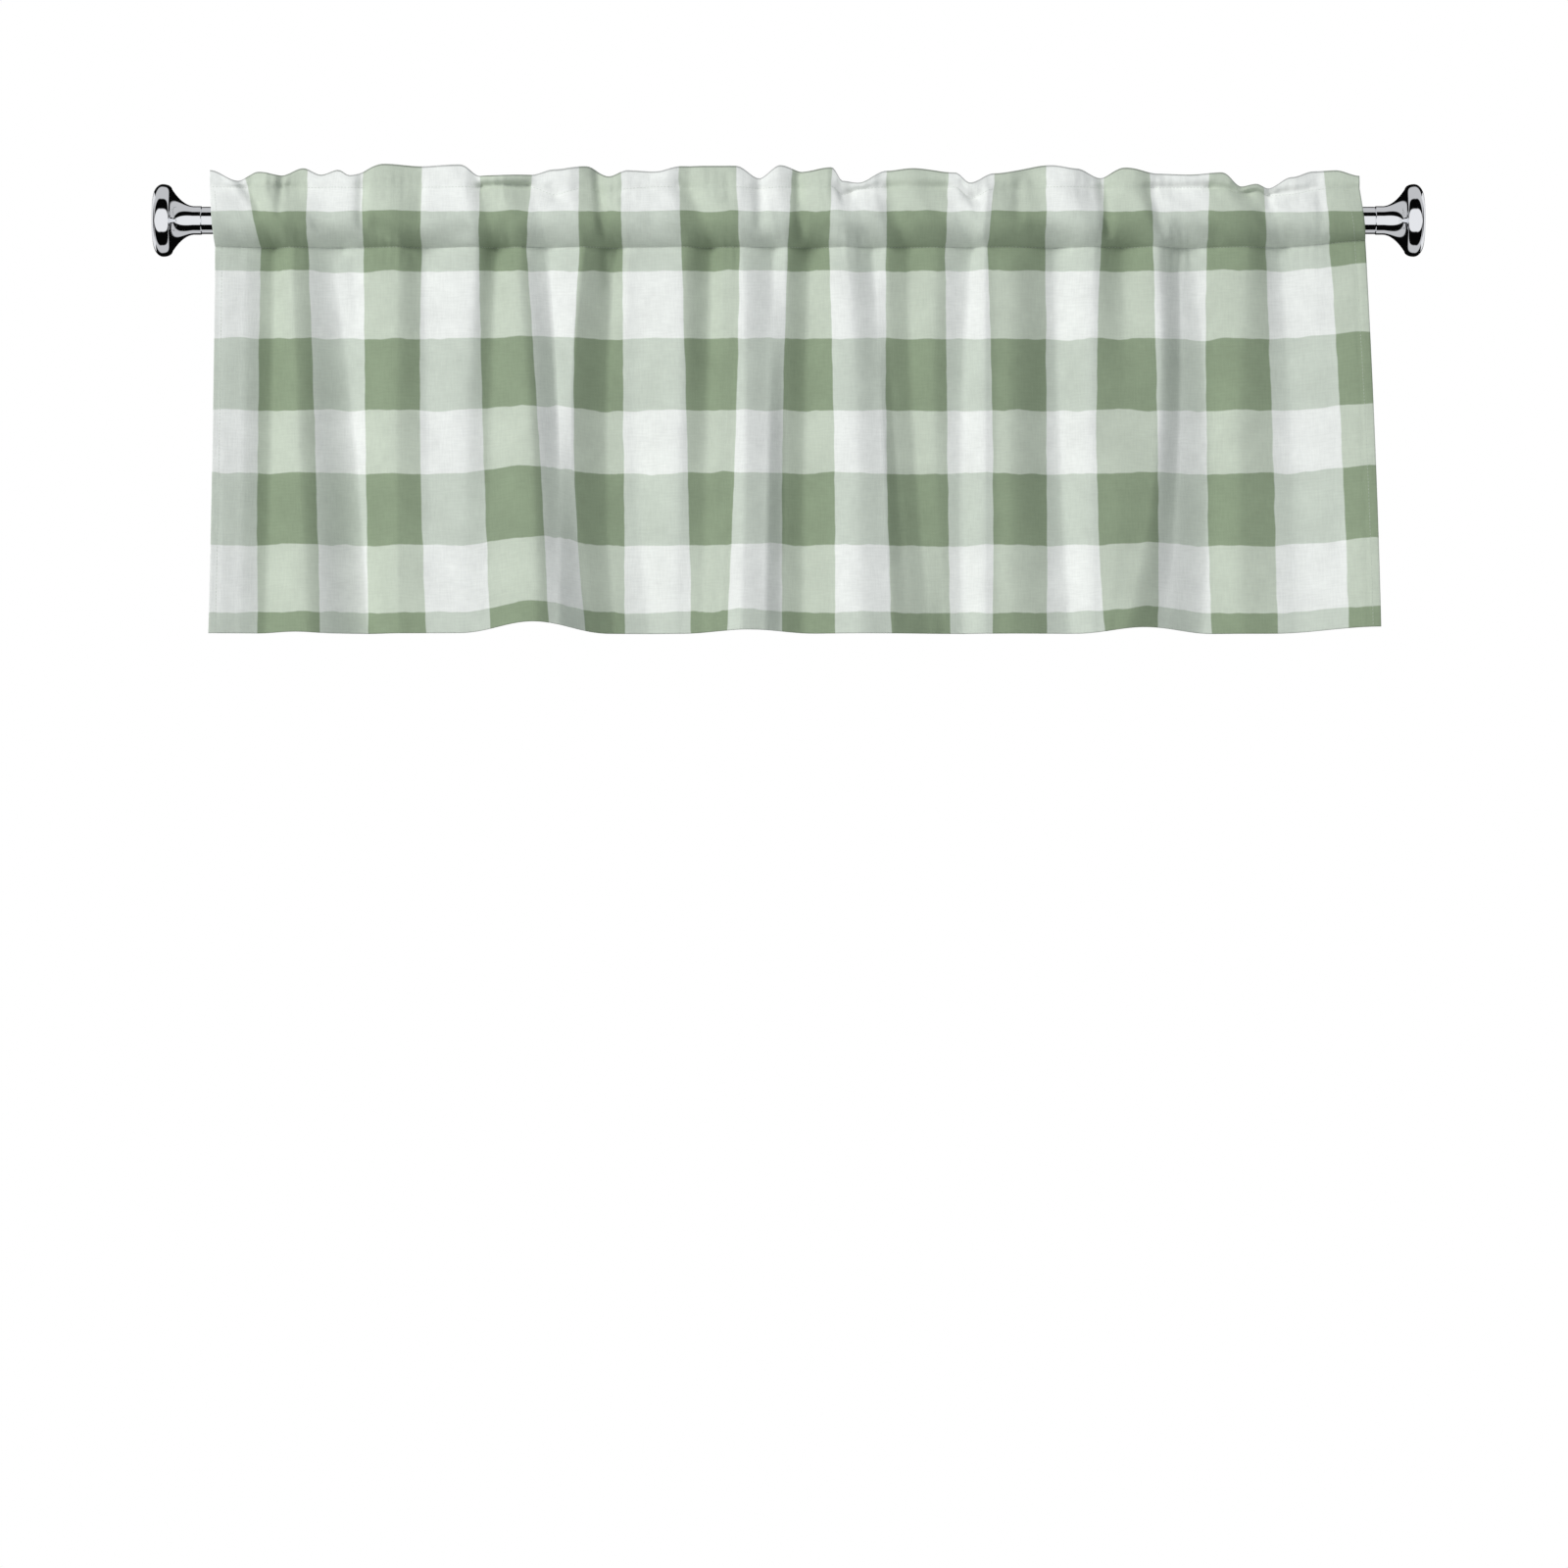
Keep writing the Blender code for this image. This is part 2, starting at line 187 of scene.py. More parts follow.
add_node(tree, "ShaderNodeOutputWorld", {0: background.outputs[0]})


def soft_box(name, power, azimuth):
    """A square soft box, turned to the middle of the valance, that chrome doesn't mirror."""
    light_data = bpy.data.lights.new(name, "AREA")
    light_data.shape = "SQUARE"
    light_data.size = SOFT_BOX_SIDE * MM
    light_data.energy = power
    light = bpy.data.objects.new(name, light_data)
    scene.collection.objects.link(light)
    turn = math.radians(azimuth)
    lift = math.radians(SOFT_BOX_ELEVATION)
    away = (math.cos(lift) * math.sin(turn), -math.cos(lift) * math.cos(turn), math.sin(lift))
    light.location = (np.array(VALANCE_MIDDLE) + SOFT_BOX_DISTANCE * np.array(away)) * MM
    light.rotation_euler = (0.5 * math.pi - lift, 0.0, turn)
    light.visible_camera = False
    light.visible_glossy = False


soft_box("key light", KEY_POWER, KEY_AZIMUTH)
soft_box("back light", BACK_POWER, BACK_AZIMUTH)


def stage_board(name, corners, material):
    """A flat board of the studio, from its four corners."""
    mesh = bpy.data.meshes.new(name)
    mesh.from_pydata(np.multiply(corners, MM).tolist(), [], [(0, 1, 2, 3)])
    mesh.materials.append(material)
    board = bpy.data.objects.new(name, mesh)
    scene.collection.objects.link(board)
    return board


# White paper, evenly lit: a card stands behind and outside each end of the rod, and gives
# the rim of the chrome there a soft bright edge. Nothing else sees it.
white_card = bpy.data.materials.new("white reflector card")
white_card.use_nodes = True
tree = white_card.node_tree
tree.nodes.clear()
card_glow = add_node(tree, "ShaderNodeEmission", {"Color": linear(CARD_WHITE)})
add_node(tree, "ShaderNodeOutputMaterial", {"Surface": card_glow.outputs[0]})
half_card = 0.5 * CARD_SIDE
for card_name, card_along in (
    ("left card", cad_box[0][0] / MM - CARD_AWAY),
    ("right card", cad_box[1][0] / MM + CARD_AWAY),
):
    card_corners = [
        (card_along, CARD_BEHIND + y * half_card, z * half_card)
        for y, z in ((-1, -1), (1, -1), (1, 1), (-1, 1))
    ]
    card = stage_board(card_name, card_corners, white_card)
    card.visible_camera = False
    card.visible_diffuse = False
    card.visible_shadow = False

# Matt white paint on board: a pale floor with soft shadows and no shine
painted_board = bpy.data.materials.new("painted board")
painted_board.use_nodes = True
paint = painted_board.node_tree.nodes["Principled BSDF"]
paint.inputs["Base Color"].default_value = linear(FLOOR_PAINT)
paint.inputs["Roughness"].default_value = 0.9
half_floor = 0.5 * FLOOR_SIDE
floor_corners = [
    (VALANCE_MIDDLE[0] + x * half_floor, y * half_floor, FLOOR_HEIGHT)
    for x, y in ((-1, -1), (1, -1), (1, 1), (-1, 1))
]
floor = stage_board("floor", floor_corners, painted_board)
floor.visible_glossy = False


# The rod is a drawn steel tube, 1 in (25.4 mm) across and 1.2 mm thick. It is polished and
# chromed, and each end slides over a spigot on the finial there.
ROD_RADIUS = 12.7
ROD_BORE_RADIUS = 11.5
ROD_EDGE_ROUNDING = 0.3
TURNED_SIDES = 128
SHARP_ANGLE = 40.0
CHROME_REFLECTANCE = "#E9EBEE"
CHROME_ROUGHNESS = (0.025, 0.06)
POLISH_SPACING = 0.9
POLISH_RUNS_PER_M = 12.0
POLISH_DEPTH = 0.0004
POLISH_STRENGTH = 0.2
# Nearly all of a noise texture's values lie between these two
NOISE_RANGE = (0.3, 0.7)


def turned_piece(name, profile, closed, material):
    """A piece turned about the rod's axis from (distance, radius) points."""
    angles = np.linspace(0.0, math.tau, TURNED_SIDES, endpoint=False)
    distance, radius = np.array(profile).T
    points = np.stack(
        (
            np.repeat(distance[:, None], TURNED_SIDES, axis=1),
            radius[:, None] * np.cos(angles),
            radius[:, None] * np.sin(angles),
        ),
        axis=2,
    )
    rings = len(profile)
    faces = []
    for ring in range(rings if closed else rings - 1):
        following = (ring + 1) % rings
        for side in range(TURNED_SIDES):
            beside = (side + 1) % TURNED_SIDES
            faces.append(
                (
                    ring * TURNED_SIDES + side,
                    following * TURNED_SIDES + side,
                    following * TURNED_SIDES + beside,
                    ring * TURNED_SIDES + beside,
                )
            )
    if not closed:
        faces.append(tuple(range(TURNED_SIDES)))
        last = (rings - 1) * TURNED_SIDES
        faces.append(tuple(reversed(range(last, last + TURNED_SIDES))))
    mesh = bpy.data.meshes.new(name)
    mesh.from_pydata((points.reshape(-1, 3) * MM).tolist(), [], faces)
    mesh.shade_smooth()
    mesh.set_sharp_from_angle(angle=math.radians(SHARP_ANGLE))
    mesh.materials.append(material)
    piece = bpy.data.objects.new(name, mesh)
    scene.collection.objects.link(piece)
    return piece


# Chromium over nickel on polished steel: a mirror with a faint cool tint. The last polishing
# ran round the piece, so it has hair-fine rings, drawn about 0.9 mm apart, coarser than real.
polished_chrome = bpy.data.materials.new("polished chrome")
polished_chrome.use_nodes = True
tree = polished_chrome.node_tree
chrome = tree.nodes["Principled BSDF"]
chrome.inputs["Base Color"].default_value = linear(CHROME_REFLECTANCE)
chrome.inputs["Metallic"].default_value = 1.0
chrome_place = add_node(tree, "ShaderNodeTexCoord")
polish_scales = (1.0 / (POLISH_SPACING * MM), POLISH_RUNS_PER_M, POLISH_RUNS_PER_M)
stretched = add_node(
    tree,
    "ShaderNodeVectorMath",
    {0: chrome_place.outputs["Object"], 1: polish_scales},
    operation="MULTIPLY",
)
polish = add_node(
    tree, "ShaderNodeTexNoise", {"Vector": stretched.outputs[0], "Scale": 1.0, "Detail": 3.0}
)
smear = add_node(
    tree,
    "ShaderNodeMapRange",
    {
        0: polish.outputs[0],
        1: NOISE_RANGE[0],
        2: NOISE_RANGE[1],
        3: CHROME_ROUGHNESS[0],
        4: CHROME_ROUGHNESS[1],
    },
)
polish_bump = add_node(
    tree,
    "ShaderNodeBump",
    {"Strength": POLISH_STRENGTH, "Distance": POLISH_DEPTH * MM, "Height": polish.outputs[0]},
)
tree.links.new(smear.outputs[0], chrome.inputs["Roughness"])
tree.links.new(polish_bump.outputs[0], chrome.inputs["Normal"])

rod_low, rod_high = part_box("rod")
rod_start = rod_low.x / MM
rod_end = rod_high.x / MM
rod_profile = (
    (rod_start, ROD_BORE_RADIUS),
    (rod_start, ROD_RADIUS - ROD_EDGE_ROUNDING),
    (rod_start + ROD_EDGE_ROUNDING, ROD_RADIUS),
    (rod_end - ROD_EDGE_ROUNDING, ROD_RADIUS),
    (rod_end, ROD_RADIUS - ROD_EDGE_ROUNDING),
    (rod_end, ROD_BORE_RADIUS),
)
rod_tube = turned_piece("rod_tube", rod_profile, True, polished_chrome)
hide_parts("rod")
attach(rod_tube, "root")


# Each finial is one turned piece, chromed as the rod is: a thick round flange with a flat
# outer face that bears on what holds the rod, a trumpet flare, a neck and a spigot that goes
# into the rod.
FLAT_RADIUS = 22.0
FLANGE_RADIUS = 33.8
FLANGE_CREST = 8.8
FLARE_RADIUS = 29.6
FLARE_START = 16.8
FLARE_END = 38.2
FLARE_POWER = 2.0
NECK_RADIUS = 13.3
NECK_END = 44.8
NECK_ROUNDING = 0.4
SPIGOT_RADIUS = 11.2
SPIGOT_END = 73.0
DOME_STEPS = 20
BACK_STEPS = 12
FLARE_STEPS = 28


def finial_profile():
    """(distance, radius) points of the finial, from its outer face to the spigot's end."""
    profile = []
    for step in range(DOME_STEPS):
        bend = 0.5 * math.pi * step / DOME_STEPS
        distance = FLANGE_CREST * (1.0 - math.cos(bend))
        profile.append((distance, FLAT_RADIUS + (FLANGE_RADIUS - FLAT_RADIUS) * math.sin(bend)))
    for step in range(BACK_STEPS):
        bend = 0.5 * math.pi * step / BACK_STEPS
        distance = FLANGE_CREST + (FLARE_START - FLANGE_CREST) * math.sin(bend)
        profile.append((distance, FLARE_RADIUS + (FLANGE_RADIUS - FLARE_RADIUS) * math.cos(bend)))
    for step in range(FLARE_STEPS + 1):
        share = step / FLARE_STEPS
        distance = FLARE_START + (FLARE_END - FLARE_START) * share
        radius = NECK_RADIUS + (FLARE_RADIUS - NECK_RADIUS) * (1.0 - share) ** FLARE_POWER
        profile.append((distance, radius))
    profile.append((NECK_END - NECK_ROUNDING, NECK_RADIUS))
    profile.append((NECK_END, NECK_RADIUS - NECK_ROUNDING))
    profile.append((NECK_END, SPIGOT_RADIUS))
    profile.append((SPIGOT_END, SPIGOT_RADIUS))
    return profile


finial_left_low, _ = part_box("finial_left")
_, finial_right_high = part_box("finial_right")
turned_left = turned_piece("turned_finial_left", finial_profile(), False, polished_chrome)
turned_left.location.x = finial_left_low.x
turned_right = bpy.data.objects.new("turned_finial_right", turned_left.data)
scene.collection.objects.link(turned_right)
turned_right.location.x = finial_right_high.x
turned_right.rotation_euler.z = math.pi
for turned_finial, finial in ((turned_left, "finial_left"), (turned_right, "finial_right")):
    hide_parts(finial)
    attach(turned_finial, "root")


# The valance is one panel of printed plain-weave cotton blend with hems at its sides and foot.
# Its top is turned to the back and stitched twice, which makes the ruffled header and the
# pocket that the rod goes through.
CLOTH_THICKNESS = 0.5
LAYER_GAP = 0.75
SEAM_GAP = 2.3
HEM_GAP = 1.0

# Lengths of the flat cut, from the bottom hem up to the turning behind the pocket
HEM_DEPTH = 31.0
SKIRT_LENGTH = 358.0
POCKET_LENGTH = 76.2
HEADER_LENGTH = 25.4
TURNED_END = 3.0
FLAT_WIDTH = 1350.0

# Heights of the hung cloth above the rod's axis
HEM_HEIGHT = -385.6
LOWER_SEAM_HEIGHT = -25.2
UPPER_SEAM_HEIGHT = 30.7
HEADER_HEIGHT = 43.0
ROD_ZONE_BOTTOM = -12.0
ROD_ZONE_TOP = 9.0
ROD_CLEARANCE = 1.6

# Shares of the skirt's fold depth that the gathers keep higher up, and how the header stands
GATHER_AT_UPPER_SEAM = 0.5
GATHER_IN_POCKET = 0.35
GATHER_BEHIND_ROD = 0.25
HEADER_FORWARD = 4.4
HEADER_SLACK = 0.12
CROWN_RISE = 0.35

# The mesh: columns across the cloth, and rows in each stretch of it from the hem up
COLUMN_SPACING = 3.0
FEWEST_STEPS = 4
EDGE_SHARE = 0.03
EDGE_ROW = 1.0
LEFT_HEM_COLUMNS = 3
RIGHT_HEM_COLUMNS = 5
HEM_ROWS = 5
SKIRT_ROWS = 52
POCKET_ROWS = 15
POCKET_BACK_ROWS = 9
HEADER_ROWS = 8
HEADER_BACK_ROWS = 4
# Share of the skirt over which a hem row reads which way the cloth faces, and the points at
# which the pocket's front is measured
FACING_STEP = 0.01
MEASURE_STEPS = 200

# Puckers beside the seams: their spacing drifts and their height changes along the rod
PUCKER_SPACING = 8.5
PUCKER_HEIGHT = 0.5
PUCKER_REACH = 9.0
PUCKER_DRIFT = 1.7
PUCKER_DRIFT_LENGTH = 31.0
PUCKER_CHANGE = 0.4
PUCKER_CHANGE_LENGTH = 17.0
SEAM_DIP = 1.2
SEAM_DIP_REACH = 1.6

# Soft dents in the header and pocket: lengths in mm, picked so that none comes back evenly
RUMPLE_HEIGHT = 1.1
RUMPLE_FADE = 30.0
DENT_ALONG = 7.3
DENT_UP = 10.0
DENT_SLANT = 23.0
DENT_DRIFT = 2.0
DRIFT_ALONG = 83.0
DRIFT_UP = 19.0
BROAD_DENT_SHARE = 0.8
BROAD_DENT_ALONG = 17.0
BROAD_DENT_UP = 13.0

# One row for each ridge, valley or edge of the skirt, from left to right.
# head, seam, mid and hem: distance along the rod at the header, the lower seam, half-way
# down and the hem. near_*: how far it stands towards the room. crisp: 0 round, 1 sharp.
Fold = namedtuple("Fold", "head seam mid hem near_seam near_mid near_hem crisp")
FOLDS = (
    Fold(53, 58, 56, 52, 9, 14, 14, 0.3),
    Fold(72, 86, 84, 80, 4, 8, 7, 0.8),
    Fold(91, 112, 109, 104, -6, -5, -2, 0.5),
    Fold(106, 129, 137, 145, 8, 12, 15, 0.2),
    Fold(132, 165, 186, 200, -6, -18, -19, 0.3),
    Fold(222, 229, 228, 230, 9, 12, 11, 0.2),
    Fold(248, 252, 256, 262, -3, 6, 13, 0.4),
    Fold(290, 302, 292, 292, 9, 12, 17, 0.2),
    Fold(305, 320, 314, 312, -3, 6, 18, 0.4),
    Fold(327, 338, 353, 358, 9, 21, 34, 0.2),
    Fold(353, 366, 378, 379, -3, 2, 27, 0.9),
    Fold(388, 402, 390, 407, 11, 1, -1, 0.8),
    Fold(417, 431, 422, 430, -6, -20, -17, 0.7),
    Fold(432, 446, 446, 462, 3, -19, -24, 0.2),
    Fold(480, 496, 492, 490, 9, 7, -14, 0.2),
    Fold(500, 521, 516, 510, -5, 0, -8, 0.4),
    Fold(515, 533, 530, 523, 6, 6, 0, 0.3),
    Fold(524, 541, 538, 533, 8, 8, 4, 0.2),
    Fold(538, 551, 552, 548, 10, 15, 13, 0.4),
    Fold(566, 579, 574, 571, -2, 9, 8, 0.8),
    Fold(583, 591, 588, 586, 5, -3, -3, 0.7),
    Fold(602, 612, 608, 606, -6, -12, -11, 0.5),
    Fold(630, 647, 657, 661, 10, 9, 12, 0.2),
    Fold(651, 671, 681, 690, -2, 3, 7, 0.8),
    Fold(671, 684, 692, 706, 3, -5, 0, 0.8),
    Fold(687, 704, 710, 726, -3, -11, -11, 0.7),
    Fold(711, 731, 730, 740, 7, -4, -17, 0.3),
    Fold(738, 763, 754, 756, -3, -10, -20, 0.4),
    Fold(758, 776, 776, 777, 9, 6, -5, 0.4),
    Fold(775, 785, 786, 787, 8, 5, -5, 0.2),
    Fold(785, 799, 799, 804, 8, 7, -2, 0.1),
    Fold(820, 841, 846, 856, -6, -14, -13, 0.4),
    Fold(855, 877, 877, 880, 10, 5, 0, 0.2),
    Fold(887, 905, 905, 894, -5, 6, 3, 0.3),
    Fold(915, 935, 936, 908, 10, 7, 5, 0.2),
    Fold(935, 957, 957, 945, -3, -8, -10, 0.9),
    Fold(950, 968, 985, 980, -5, -17, -24, 0.3),
    Fold(1000, 1020, 1016, 1022, 9, -2, -11, 0.1),
    Fold(1035, 1052, 1062, 1066, -5, -9, -10, 0.3),
    Fold(1066, 1080, 1098, 1108, 5, 4, 5, 0.9),
    Fold(1125, 1130, 1138, 1144, 12, 21, 21, 0.2),
)

# Places where the cloth is drawn up, one row each: the middle of the place, its half width,
# and how far the lower seam, the half-way level and the hem are raised there
Rise = namedtuple("Rise", "middle reach seam mid hem")
RISES = (
    Rise(131, 37, 0, 0, 1.5),
    Rise(355, 69, 0, 5, 10.5),
    Rise(556, 64, 0, 0, 3.5),
    Rise(927, 64, 0, 0, 6),
    Rise(1144, 100, 6, 6, 6),
)

# The header's ruffles, one row for each: distance along the rod, height of the top edge,
# height of the upper seam, and how far the top edge leans towards the room
Ruffle = namedtuple("Ruffle", "along top seam lean")
RUFFLES = (
    Ruffle(53, 45.8, 30.7, -3),
    Ruffle(78, 36.0, 30.2, 0),
    Ruffle(97, 44.8, 30.7, -5),
    Ruffle(119, 41.2, 30.7, -2),
    Ruffle(139, 48.5, 30.7, -6),
    Ruffle(156, 42.1, 30.7, -3),
    Ruffle(172, 46.7, 30.7, -6),
    Ruffle(183, 41.2, 30.2, -3),
    Ruffle(215, 52.2, 30.7, -7),
    Ruffle(248, 50.3, 30.7, -7),
    Ruffle(286, 51.5, 30.7, -7),
    Ruffle(305, 40.4, 30.7, 2),
    Ruffle(352, 41.5, 30.7, 2),
    Ruffle(374, 46.7, 23.8, -4),
    Ruffle(404, 50.0, 30.2, -6),
    Ruffle(425, 40.3, 24.4, -2),
    Ruffle(442, 46.2, 29.3, -5),
    Ruffle(468, 44.8, 30.7, -5),
    Ruffle(493, 50.3, 30.7, -7),
    Ruffle(544, 50.3, 30.7, -7),
    Ruffle(565, 38.9, 29.7, -2),
    Ruffle(585, 51.0, 30.7, -7),
    Ruffle(606, 44.8, 30.7, -2),
    Ruffle(633, 48.5, 30.7, -3),
    Ruffle(643, 35.7, 23.8, 2),
    Ruffle(658, 33.9, 28.8, 3),
    Ruffle(684, 45.8, 31.1, -4),
    Ruffle(709, 47.9, 31.1, -5),
    Ruffle(748, 43.9, 30.7, -3),
    Ruffle(762, 33.9, 20.1, 2),
    Ruffle(784, 43.0, 28.4, -4),
    Ruffle(837, 51.2, 30.7, -7),
    Ruffle(862, 47.6, 30.7, -6),
    Ruffle(883, 39.3, 30.2, -2),
    Ruffle(906, 48.5, 30.7, -6),
    Ruffle(938, 43.0, 30.5, -3),
    Ruffle(966, 41.6, 30.2, 0),
    Ruffle(997, 43.5, 30.2, 0),
    Ruffle(1015, 30.5, 24.7, 3),
    Ruffle(1029, 32.9, 27.0, 3),
    Ruffle(1040, 29.0, 23.3, 2),
    Ruffle(1062, 39.3, 23.8, -1),
    Ruffle(1083, 45.0, 27.8, -4),
    Ruffle(1103, 45.8, 30.2, -5),
    Ruffle(1125, 40.3, 29.3, -3),
)

# The pocket around the rod, from the lower seam to the upper one: height, and how far the
# outside of the cloth stands in front of and behind the rod's axis
Wrap = namedtuple("Wrap", "height front back")
WRAPS = (
    Wrap(-25.2, 0.0, 0.0),
    Wrap(-21.5, 5.0, 9.0),
    Wrap(-12.0, 14.8, 16.0),
    Wrap(-1.5, 19.6, 17.2),
    Wrap(9.0, 15.6, 14.4),
    Wrap(20.0, 8.2, 7.6),
    Wrap(30.7, 0.0, 0.0),
)

# Creases and rolls pressed into the header, pocket and skirt by the gathers, and last the
# edges of the two side hems, one row each: where the crease starts and ends, its half width,
# and how far it stands out (or in, below zero)
Crease = namedtuple("Crease", "along height to_along to_height reach lift")
CREASES = (
    Crease(70, 42, 92, 12, 5, 3.2),
    Crease(80, 36, 96, 14, 4, -3.0),
    Crease(120, 40, 117, 6, 4, -2.9),
    Crease(126, 32, 160, 27, 2.5, -1.3),
    Crease(154, -6, 176, -22, 6, -4.6),
    Crease(195, 46, 195, -2, 5, -5.6),
    Crease(208, -4, 238, -22, 6, -4.8),
    Crease(250, 40, 248, 8, 4, -1.7),
    Crease(300, 44, 307, 30, 4, -2.3),
    Crease(330, -4, 334, -44, 7, -3.4),
    Crease(292, -10, 316, -20, 6, -2.6),
    Crease(371, 30, 377, 22, 4, -3.2),
    Crease(366, 34, 372, 30, 4, 2.0),
    Crease(414, 46, 420, -6, 4.5, -5.4),
    Crease(420, -6, 424, -60, 4.5, -2.9),
    Crease(463, 40, 488, 32, 4, -2.0),
    Crease(466, 0, 492, -16, 7, -3.8),
    Crease(536, 40, 538, 20, 5, -2.0),
    Crease(566, 38, 566, -4, 5, -4.2),
    Crease(575, 10, 580, -14, 6, 2.0),
    Crease(602, 42, 604, -14, 4.5, -5.2),
    Crease(640, 32, 652, 26, 4, -3.2),
    Crease(632, -6, 660, -18, 7, -3.4),
    Crease(686, 10, 700, -16, 7, -3.4),
    Crease(720, 6, 736, -14, 6, 1.7),
    Crease(755, 34, 768, 20, 4, -3.8),
    Crease(778, 28, 773, -16, 4, 2.9),
    Crease(808, 36, 806, 4, 5, -2.2),
    Crease(822, -8, 852, -20, 7, -3.6),
    Crease(887, 44, 890, -10, 5, -6.0),
    Crease(930, 30, 940, -10, 6, -3.0),
    Crease(958, -6, 990, -18, 7, -3.6),
    Crease(1010, 34, 1022, 24, 3.5, -2.6),
    Crease(1040, 26, 1044, -4, 4, -2.6),
    Crease(1036, 0, 1058, -20, 6, -3.2),
    Crease(1086, 36, 1090, -6, 5, -2.0),
    Crease(186, -44, 190, -92, 6, -1.8),
    Crease(306, 32.5, 350, 33, 2.4, -3.4),
    Crease(306, 38.5, 350, 39, 3, 1.4),
    Crease(686, 31, 742, 31, 3.5, -2.6),
    Crease(688, 41, 740, 41, 4, 1.2),
    Crease(935, 30, 986, 31, 3.5, -2.8),
    Crease(986, 31, 1014, 28, 3, -2.4),
    Crease(935, 40, 986, 40, 4, 1.4),
    Crease(1042, 25, 1080, 29, 3.5, -3.6),
    Crease(496, 31, 546, 32, 2.2, -1.2),
    Crease(62, -28, 59.5, -380, 1.8, -0.8),
    Crease(1121, -28, 1133, -380, 1.8, -0.8),
)

# Where the edges of the print's green columns hang, one row for each edge from left to
# right: distance along the rod at the header, the lower seam, half-way down and the hem
ColumnEdge = namedtuple("ColumnEdge", "head seam mid hem")
COLUMN_EDGES = (
    ColumnEdge(85, 100, 97, 97),
    ColumnEdge(143, 144, 151, 156),
    ColumnEdge(195, 196, 197, 199),
    ColumnEdge(250, 250, 249, 255),
    ColumnEdge(305, 304, 308, 315),
    ColumnEdge(353, 348, 360, 370),
    ColumnEdge(397, 398, 392, 403),
    ColumnEdge(436, 437, 438, 439),
    ColumnEdge(490, 493, 498, 502),
    ColumnEdge(544, 547, 543, 535),
    ColumnEdge(596, 592, 587, 587),
    ColumnEdge(633, 630, 635, 636),
    ColumnEdge(684, 684, 684, 689),
    ColumnEdge(742, 739, 741, 744),
    ColumnEdge(785, 778, 783, 783),
    ColumnEdge(833, 832, 834, 834),
    ColumnEdge(888, 884, 880, 888),
    ColumnEdge(930, 932, 937, 938),
    ColumnEdge(985, 983, 984, 989),
    ColumnEdge(1036, 1038, 1045, 1050),
    ColumnEdge(1092, 1097, 1108, 1115),
)
CHECK_REPEAT = 127.0
FIRST_COLUMN = 47.5
COLUMN_WIDTH = 65.5


def mix(low, high, share):
    """The value at a share of the way from low to high."""
    return low + (high - low) * share


def through_three(start, middle, end, share):
    """A smooth curve through its values at share 0, a half and 1."""
    return start + share * (4 * middle - 3 * start - end) + 2 * share**2 * (start + end - 2 * middle)


def eased(low, high, share, crisp_low, crisp_high):
    """Ease between two values, level at a round end and straight at a crisp one."""
    rise = high - low
    cubed = share**3
    squared = share**2
    return (
        low
        + rise * (3 * squared - 2 * cubed)
        + rise * crisp_low * (cubed - 2 * squared + share)
        + rise * crisp_high * (cubed - squared)
    )


def smooth_through(places, values, wanted):
    """A smooth curve through values at rising places, read at the places wanted."""
    slopes = np.gradient(values, places)
    index = np.clip(np.searchsorted(places, wanted, side="right") - 1, 0, len(places) - 2)
    width = places[index + 1] - places[index]
    share = (wanted - places[index]) / width
    rise = values[index + 1] - values[index]
    slope_low = slopes[index] * width
    slope_high = slopes[index + 1] * width
    return (
        values[index]
        + rise * (3 * share**2 - 2 * share**3)
        + slope_low * (share**3 - 2 * share**2 + share)
        + slope_high * (share**3 - share**2)
    )


# Each column of the mesh lies between two folds, some share of the way across
columns = []
for left, right in zip(FOLDS, FOLDS[1:]):
    widest = max(right.head - left.head, right.mid - left.mid, right.hem - left.hem)
    steps = max(FEWEST_STEPS, round(widest / COLUMN_SPACING))
    columns += [(left, right, step / steps) for step in range(steps)]
columns.append((FOLDS[-2], FOLDS[-1], 1.0))
# One narrow column at each side edge keeps the edge's own shading narrow
columns.insert(1, (FOLDS[0], FOLDS[1], EDGE_SHARE))
columns.insert(-1, (FOLDS[-2], FOLDS[-1], 1.0 - EDGE_SHARE))
left_fold = Fold(*np.array([left for left, _, _ in columns], float).T)
right_fold = Fold(*np.array([right for _, right, _ in columns], float).T)
fold_share = np.array([share for _, _, share in columns])
header_along = mix(left_fold.head, right_fold.head, fold_share)

ruffle_table = np.array(RUFFLES, float)
before = np.searchsorted(ruffle_table[:, 0], header_along, side="right") - 1
before = np.clip(before, 0, len(RUFFLES) - 2)
between = (header_along - ruffle_table[before, 0]) / (
    ruffle_table[before + 1, 0] - ruffle_table[before, 0]
)
between = np.clip(between, 0.0, 1.0)[:, None]
ruffle = Ruffle(*eased(ruffle_table[before], ruffle_table[before + 1], between, 0.0, 0.0).T)


def raised(along, down):
    """How far the cloth is drawn up at each place of a row."""
    total = 0.0
    for rise in RISES:
        away = np.minimum(np.abs(along - rise.middle) / rise.reach, 1.0)
        total = total + through_three(rise.seam, rise.mid, rise.hem, down) * (
            0.5 * (1.0 + np.cos(np.pi * away))
        )
    return total


def creased(along, height):
    """How far the creases bring each place of the cloth towards the room."""
    total = np.zeros_like(along)
    for crease in CREASES:
        run = crease.to_along - crease.along
        climb = crease.to_height - crease.height
        share = ((along - crease.along) * run + (height - crease.height) * climb) / (
            run**2 + climb**2
        )
        share = np.clip(share, 0.0, 1.0)
        away = np.hypot(
            along - crease.along - share * run, height - crease.height - share * climb
        )
        total += crease.lift * np.exp(-((away / crease.reach) ** 2))
    return total


